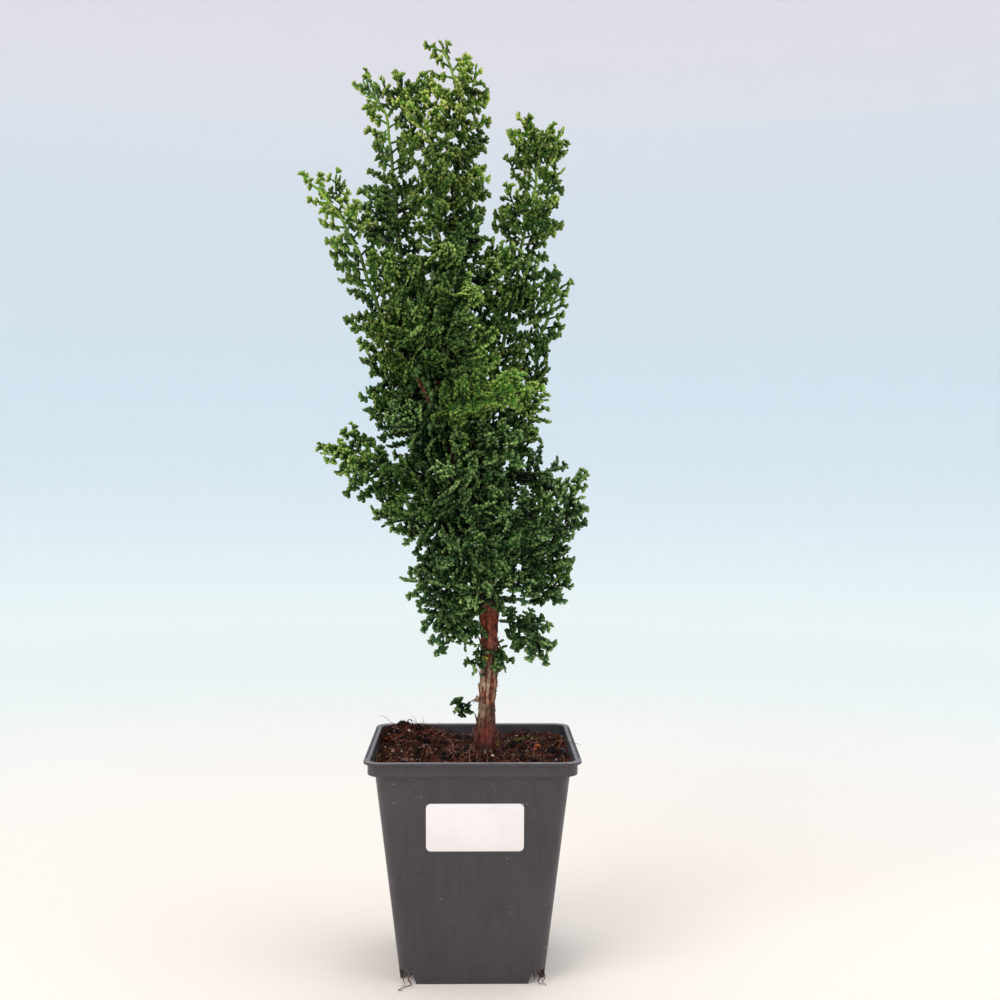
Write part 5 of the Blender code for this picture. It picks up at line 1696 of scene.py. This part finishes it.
print("triangles in all pieces so far:", sum(len(piece.data.loop_triangles) for piece in pieces))

# %% [markdown]
# ### Twigs that fill the gaps
#
# The plain branches give the crown its outline, but a real crown has many more twigs. One dark stem runs up inside
# it along the trunk, with broad sprigs that are hardly seen, so that little light comes through. Short twigs fill
# the places where the photograph shows leaves and the plain branches leave a gap. Each is given by three points,
# in mm from the middle of the pot, and all twigs of one shade are one piece.

# %% Place the twigs
LIGHT_TWIGS = [
    ((29, -2, 345), (25, -4, 356), (21, -5, 365)), ((31, -2, 347), (34, -2, 355), (36, -2, 360)),
    ((24, -2, 318), (22, -4, 324), (20, -5, 331)), ((27, -2, 317), (30, -4, 323), (32, -5, 330)),
    ((-28, -1, 367), (-30, -2, 376), (-32, -3, 383)), ((-26, 0, 369), (-24, 0, 377), (-22, 0, 384)),
    ((-7, -2, 361), (-11, -4, 370), (-15, -5, 378)),
]
MID_TWIGS = [
    ((-35, 0, 316), (-40, -2, 326), (-46, -3, 334)), ((-6, -4, 299), (-2, -4, 310), (1, -4, 320)),
    ((17, -2, 284), (21, -3, 295), (24, -3, 304)), ((-31, -2, 254), (-38, -4, 262), (-45, -5, 268)),
    ((-31, -2, 235), (-38, -4, 241), (-44, -5, 247)), ((-27, -4, 192), (-33, -8, 195), (-39, -10, 196)),
    ((2, 8, 192), (9, 10, 200), (15, 10, 207)), ((3, -12, 233), (-1, -14, 239), (-5, -15, 242)),
    ((1, -10, 238), (-2, -15, 233), (-4, -17, 228)), ((24, -2, 279), (27, -4, 286), (30, -5, 292)),
    ((6, -4, 278), (3, -8, 284), (1, -10, 290)), ((10, -4, 278), (13, -7, 284), (12, -9, 291)),
]
DARK_TWIGS = [
    ((23, -4, 174), (32, -8, 176), (39, -8, 177)), ((22, -4, 161), (31, -8, 164), (38, -8, 166)),
    ((-7, -6, 161), (-13, -10, 156), (-18, -12, 150)), ((-5, -6, 160), (-10, -10, 150), (-14, -12, 140)),
    ((-2, -4, 161), (-5, -8, 154), (-5, -10, 146)), ((24, -5, 147), (27, -7, 142), (30, -8, 136)),
    ((-15, -8, 182), (-18, -10, 185), (-21, -11, 188)), ((7, -9, 170), (5, -17, 178), (2, -20, 186)),
    ((8, -9, 171), (11, -17, 182), (13, -20, 193)), ((5, -9, 183), (7, -17, 194), (8, -20, 204)),
    ((4, -9, 196), (1, -17, 207), (-1, -20, 217)), ((2, -9, 179), (-1, -15, 173), (-3, -18, 167)),
    ((4, -9, 181), (5, -16, 174), (6, -19, 167)), ((14, -6, 169), (18, -12, 166), (22, -14, 163)),
    ((-1, -9, 190), (-5, -15, 186), (-8, -17, 182)), ((10, -9, 184), (13, -15, 178), (14, -18, 172)),
    ((-5, -5, 150), (-4, -8, 146), (-2, -9, 143)),
]
SHORT_LIGHT_TWIGS = [
    ((-58, -2, 331), (-60, -3, 336), (-60, -4, 341)), ((20, -2, 326), (17, -4, 331), (15, -5, 336)),
    ((-25, -2, 357), (-27, -4, 362), (-28, -5, 367)), ((-35, -2, 372), (-37, -4, 377), (-39, -5, 381)),
    ((31, -2, 334), (34, -4, 340), (35, -5, 347)), ((-20, -2, 330), (-22, -4, 335), (-23, -5, 341)),
    ((-3, -2, 374), (-1, -4, 380), (0, -5, 386)), ((-2, -2, 333), (0, -4, 338), (2, -5, 343)),
    ((-42, -2, 313), (-44, -4, 318), (-45, -5, 323)), ((16, -2, 346), (18, -4, 351), (19, -5, 356)),
]
SHORT_MID_TWIGS = [
    ((-48, -4, 222), (-51, -6, 227), (-52, -7, 232)), ((20, -4, 222), (23, -6, 226), (26, -7, 230)),
    ((29, -4, 291), (32, -5, 296), (34, -6, 301)), ((-34, -6, 199), (-36, -8, 202), (-38, -9, 206)),
    ((-41, -4, 256), (-43, -5, 260), (-45, -6, 264)), ((-35, -4, 231), (-38, -5, 234), (-40, -6, 238)),
    ((-5, -4, 317), (-3, -6, 321), (-1, -8, 326)), ((35, -6, 167), (38, -8, 171), (40, -9, 175)),
]
print("twigs:", len(LIGHT_TWIGS + MID_TWIGS + DARK_TWIGS + SHORT_LIGHT_TWIGS + SHORT_MID_TWIGS))

# %% Grow the inner leaves and the short twigs
CROWN_FROM = 165
sizes = {"Sprigs": broad_set, "Stem radius": 0.5 * MM, "Stem shade": 0.2, "Spray length": 17 * MM,
         "Spray gap": 0.9 * MM, "Sprig gap": 2.1 * MM, "Short at foot": 1.0, "Short at tip": 0.7}
crown_line = free_line(*(point for point in TRUNK_LINE if point[2] > CROWN_FROM))
leafy_stems("inner_leaves", [crown_line], "leaf_dark", 1400, sizes)
for kind, slot, seed, reach, twigs in (
    ("twigs", "leaf_light", 1420, 7.5, LIGHT_TWIGS), ("twigs", "leaf_mid", 1440, 7.5, MID_TWIGS),
    ("twigs", "leaf_dark", 1460, 7.5, DARK_TWIGS), ("short_twigs", "leaf_light", 1480, 4.5, SHORT_LIGHT_TWIGS),
    ("short_twigs", "leaf_mid", 1500, 4.5, SHORT_MID_TWIGS),
):
    lines = [free_line(*twig) for twig in twigs]
    sizes = {"Stem radius": 0.5 * MM, "Spray length": reach * MM, "Spray gap": 1.4 * MM, "Level": 0.5}
    leafy_stems(f"{kind}_of_{slot}", lines, slot, seed, sizes)

# %% [markdown]
# ### Small leaves on the trunk and in the peat
#
# Some single leaves sit apart from the branches: round green ones on the trunk below the crown, two that turned
# yellow, a dry orange one, and seedlings in the peat. They are fingers again, wide and short. Each one is given by
# its place, the way it points and its size.

# %% Lay the small leaves
LEAFLET_SHADE = 0.7


def small_leaves(name, leaves, finish, slot):
    """One piece of single leaves. Each is given by its foot, its aim, and its length and width in mm."""
    shape = bmesh.new()
    tip_layer = shape.verts.layers.float.new("tip")
    for foot, aim, length, width in leaves:
        before = len(shape.verts)
        add_finger(shape, tip_layer, Vector((0, 0, 0)), 0, Vector((length, width, 0.45 * width)) * MM, 6)
        shape.verts.ensure_lookup_table()
        turn = Vector(aim).to_track_quat("X", "Z").to_matrix().to_4x4()
        for point in shape.verts[before:]:
            point.co = HOME + Vector(foot) * MM + turn @ point.co
    piece = take_shape(new_piece(name, [], finish=finish), shape)
    mark(piece, "shade", [LEAFLET_SHADE] * len(piece.data.vertices))
    piece.data.shade_smooth()
    keep(piece, slot)


leaf_yellow = leaf_material(
    "leaf_yellow", (120, 100, 30), (190, 168, 56), (206, 186, 62), (196, 190, 80), (226, 206, 104))
leaf_dry = leaf_material(
    "leaf_dry", (104, 50, 26), (160, 88, 50), (182, 100, 56), (160, 96, 60), (208, 134, 88))
small_leaves("trunk_leaflets", [
    ((5, -8, 139.5), (-0.8, -0.5, 0.1), 3.4, 3.0), ((6.5, -8.5, 142), (-0.5, -0.6, 0.6), 3.2, 2.8),
    ((4, -8, 137), (-0.9, -0.4, -0.5), 3.6, 3.0), ((6.5, -8.5, 138), (-0.1, -0.8, -0.6), 3.0, 2.8),
    ((5, -8, 130.5), (-0.5, -0.7, -0.4), 2.8, 2.6), ((4.8, -8, 127.5), (-0.6, -0.6, -0.6), 2.6, 2.2),
    ((10.5, -7.5, 138), (0.7, -0.6, 0.2), 3.4, 3.0), ((11, -7, 136), (0.9, -0.4, -0.3), 3.8, 3.2),
    ((12, -6.5, 134.5), (0.9, -0.3, -0.6), 3.4, 2.8), ((10, -7.5, 134), (0.4, -0.8, -0.5), 3.0, 2.6),
    ((11, -7, 140.5), (0.7, -0.5, 0.5), 3.2, 2.8), ((12, -6, 138.5), (0.9, -0.3, 0.2), 3.4, 2.8),
], leaf_dark, "leaf_dark")
small_leaves("yellow_leaves", [
    ((3.8, -8.5, 135), (-0.3, -0.7, -0.6), 3.0, 2.6), ((5, -9, 135), (0.4, -0.7, -0.4), 2.6, 2.3),
    ((3.2, -8.5, 133), (-0.6, -0.6, 0.3), 2.2, 2.0),
], leaf_yellow, "leaf_light")
small_leaves("dry_leaf", [
    ((9.5, -8, 129.8), (0.9, -0.3, 0.1), 3.2, 2.2), ((10, -8, 129), (0.7, -0.6, -0.4), 2.4, 1.8),
], leaf_dry, "leaf_light")
CRESS, SEEDLING = on_peat(9.5, 15, 0) - HOME, on_peat(-40.5, -29, 0) - HOME
small_leaves("seedlings", [
    *[(tuple(CRESS / MM + Vector((0.5 * turn - 1.5, 0, 0.6 + 0.3 * turn))),
       (math.cos(turn * 2.1), math.sin(turn * 2.1), 0.7), 2.0, 1.5) for turn in range(6)],
    (tuple(SEEDLING / MM + Vector((0, 0, 4.2))), (-0.9, -0.2, 0.4), 2.4, 1.3),
    (tuple(SEEDLING / MM + Vector((0, 0, 4.2))), (0.9, -0.2, 0.5), 2.2, 1.2),
], leaf_light, "leaf_light")

# %% [markdown]
# ### Roots at the feet of the pot
#
# Roots have found their way out of the open corners. On the left one dark root curls on the floor, and on the
# right a small tuft hangs out of the notch. They are laid as the long roots in the peat are, between given points.

# %% Lay the roots at the feet
laid_strands("roots_at_the_feet", [
    (0.75, free_line((-25.5, -29, 4.2), (-26.5, -31.5, 2.6), (-25.3, -33, 1.0), (-27.4, -34.6, 0.8),
                     (-29.4, -36.6, 0.6), (-30.4, -38.2, 0.7), (-28.6, -38.8, 0.6))),
    (0.5, free_line((-27, -28, 3.6), (-29, -30.5, 2.2), (-28, -32.4, 0.9), (-29.8, -33.6, 0.6))),
    (0.9, free_line((27, -27, 5.0), (28.4, -30.6, 3.4), (27.4, -32, 1.6), (29.2, -33, 0.8))),
    (0.7, free_line((29.5, -26, 4.6), (30.4, -30, 2.6), (29.4, -31.5, 1.2), (31, -33.4, 0.7))),
    (0.6, free_line((25.5, -28, 4.8), (26.2, -31, 3.0), (25.4, -32.6, 2.0))),
], root_finish)
print("triangles in all pieces:", sum(len(piece.data.loop_triangles) for piece in pieces))

# %% [markdown]
# ## Floor, backdrop and light
#
# A small plant is photographed on a sheet that curves up behind it, so no horizon shows. Here the sheet is turned
# into a wide shallow bowl, which looks the same from every side. Its colour goes from warm white on the floor to a
# pale blue above, and it glows a little in that colour, which is painted light. One large soft lamp stands in
# front on the left, a weaker one on the right, and one overhead.

# %% Build the stage
FLOOR_RADIUS = 1.25
BEND_RADIUS = 0.9
BEND_STEPS = 12
WALL_TOP = 2.4
STAGE_SIDES = 96


def stage_profile():
    """Radius and height of the sheet, from the middle of the floor to the top of the wall."""
    outline = [(0.0, 0.0), (0.4, 0.0), (0.8, 0.0), (FLOOR_RADIUS, 0.0)]
    for index in range(1, BEND_STEPS + 1):
        angle = math.pi / 2 * index / BEND_STEPS
        outline.append((FLOOR_RADIUS + BEND_RADIUS * math.sin(angle), BEND_RADIUS * (1 - math.cos(angle))))
    outline.append((FLOOR_RADIUS + BEND_RADIUS, WALL_TOP))
    return outline


def turned_sheet(name, outline, sides, finish):
    """A sheet made by turning an outline round the middle of the pot."""
    points = [HOME]
    for radius, height in outline[1:]:
        for index in range(sides):
            angle = 2 * math.pi * index / sides
            points.append(HOME + Vector((radius * math.cos(angle), radius * math.sin(angle), height)))
    faces = [(0, 1 + index, 1 + (index + 1) % sides) for index in range(sides)]
    for ring in range(len(outline) - 2):
        low, high = 1 + ring * sides, 1 + (ring + 1) * sides
        for index in range(sides):
            after = (index + 1) % sides
            faces.append((low + index, high + index, high + after, low + after))
    sheet = new_piece(name, points, faces, finish=finish)
    sheet.data.shade_smooth()
    return sheet


backdrop, t, shader = new_material("backdrop_paper")
place = object_place(t)
height = upward_part(t, place)
away = node(t, "ShaderNodeVectorMath", {0: place}, operation="LENGTH").outputs["Value"]
near = blend(t, spread(t, away, 0.15, 0.9, 0.0, 1.0), paint(250, 241, 232), paint(245, 252, 249))
far = blend(t, spread(t, away, 1.2, 2.1, 0.0, 1.0), near, paint(213, 229, 238))
middle = blend(t, spread(t, height, 0.3, 0.75, 0.0, 1.0), far, paint(217, 224, 231))
high = blend(t, spread(t, height, 0.7, 1.1, 0.0, 1.0), middle, paint(228, 225, 230))
put(t, shader["Base Color"], high)
# The sheet also glows in its own colour, faintly near the middle and fully further out: painted light that
# brightens the backdrop and lights the scene softly from all round.
glow = spread(t, away, 0.7, 1.6, 0.35, 1.0)
put(t, shader["Emission Color"], blend(t, glow, (0, 0, 0, 1), high))
shader["Emission Strength"].default_value = 0.2
put(t, shader["Normal"], bump(t, speckle(t, place, 300.0), 0.1, 0.1 * MM))
shader["Roughness"].default_value = 0.9
floor = turned_sheet("floor", stage_profile(), STAGE_SIDES, backdrop)
print("faces in the sheet:", len(floor.data.polygons))

# %% Light it
def soft_lamp(name, place, size, power, colour):
    """A square lamp that faces the middle of the tree."""
    light = bpy.data.lights.new(name, "AREA")
    light.size = size
    light.energy = power
    light.color = colour
    lamp = bpy.data.objects.new(name, light)
    lamp.location = HOME + Vector(place)
    aim = HOME + Vector((0, 0, 0.2)) - lamp.location
    lamp.rotation_euler = aim.to_track_quat("-Z", "Y").to_euler()
    bpy.context.scene.collection.objects.link(lamp)


soft_lamp("lamp_front_left", (-0.8, -0.9, 1.1), 0.9, 9.4, (1.0, 0.97, 0.94))
soft_lamp("lamp_right", (1.1, -0.5, 0.7), 0.9, 3.2, (0.95, 0.97, 1.0))
soft_lamp("lamp_overhead", (0.1, 0.1, 1.6), 0.8, 7.0, (1.0, 1.0, 1.0))
world = bpy.data.worlds.new("studio")
world.use_nodes = True
sky = world.node_tree.nodes["Background"].inputs
sky["Color"].default_value = (1.0, 0.99, 0.98, 1)
sky["Strength"].default_value = 0.39
bpy.context.scene.world = world
bpy.context.scene.view_settings.view_transform = "Standard"
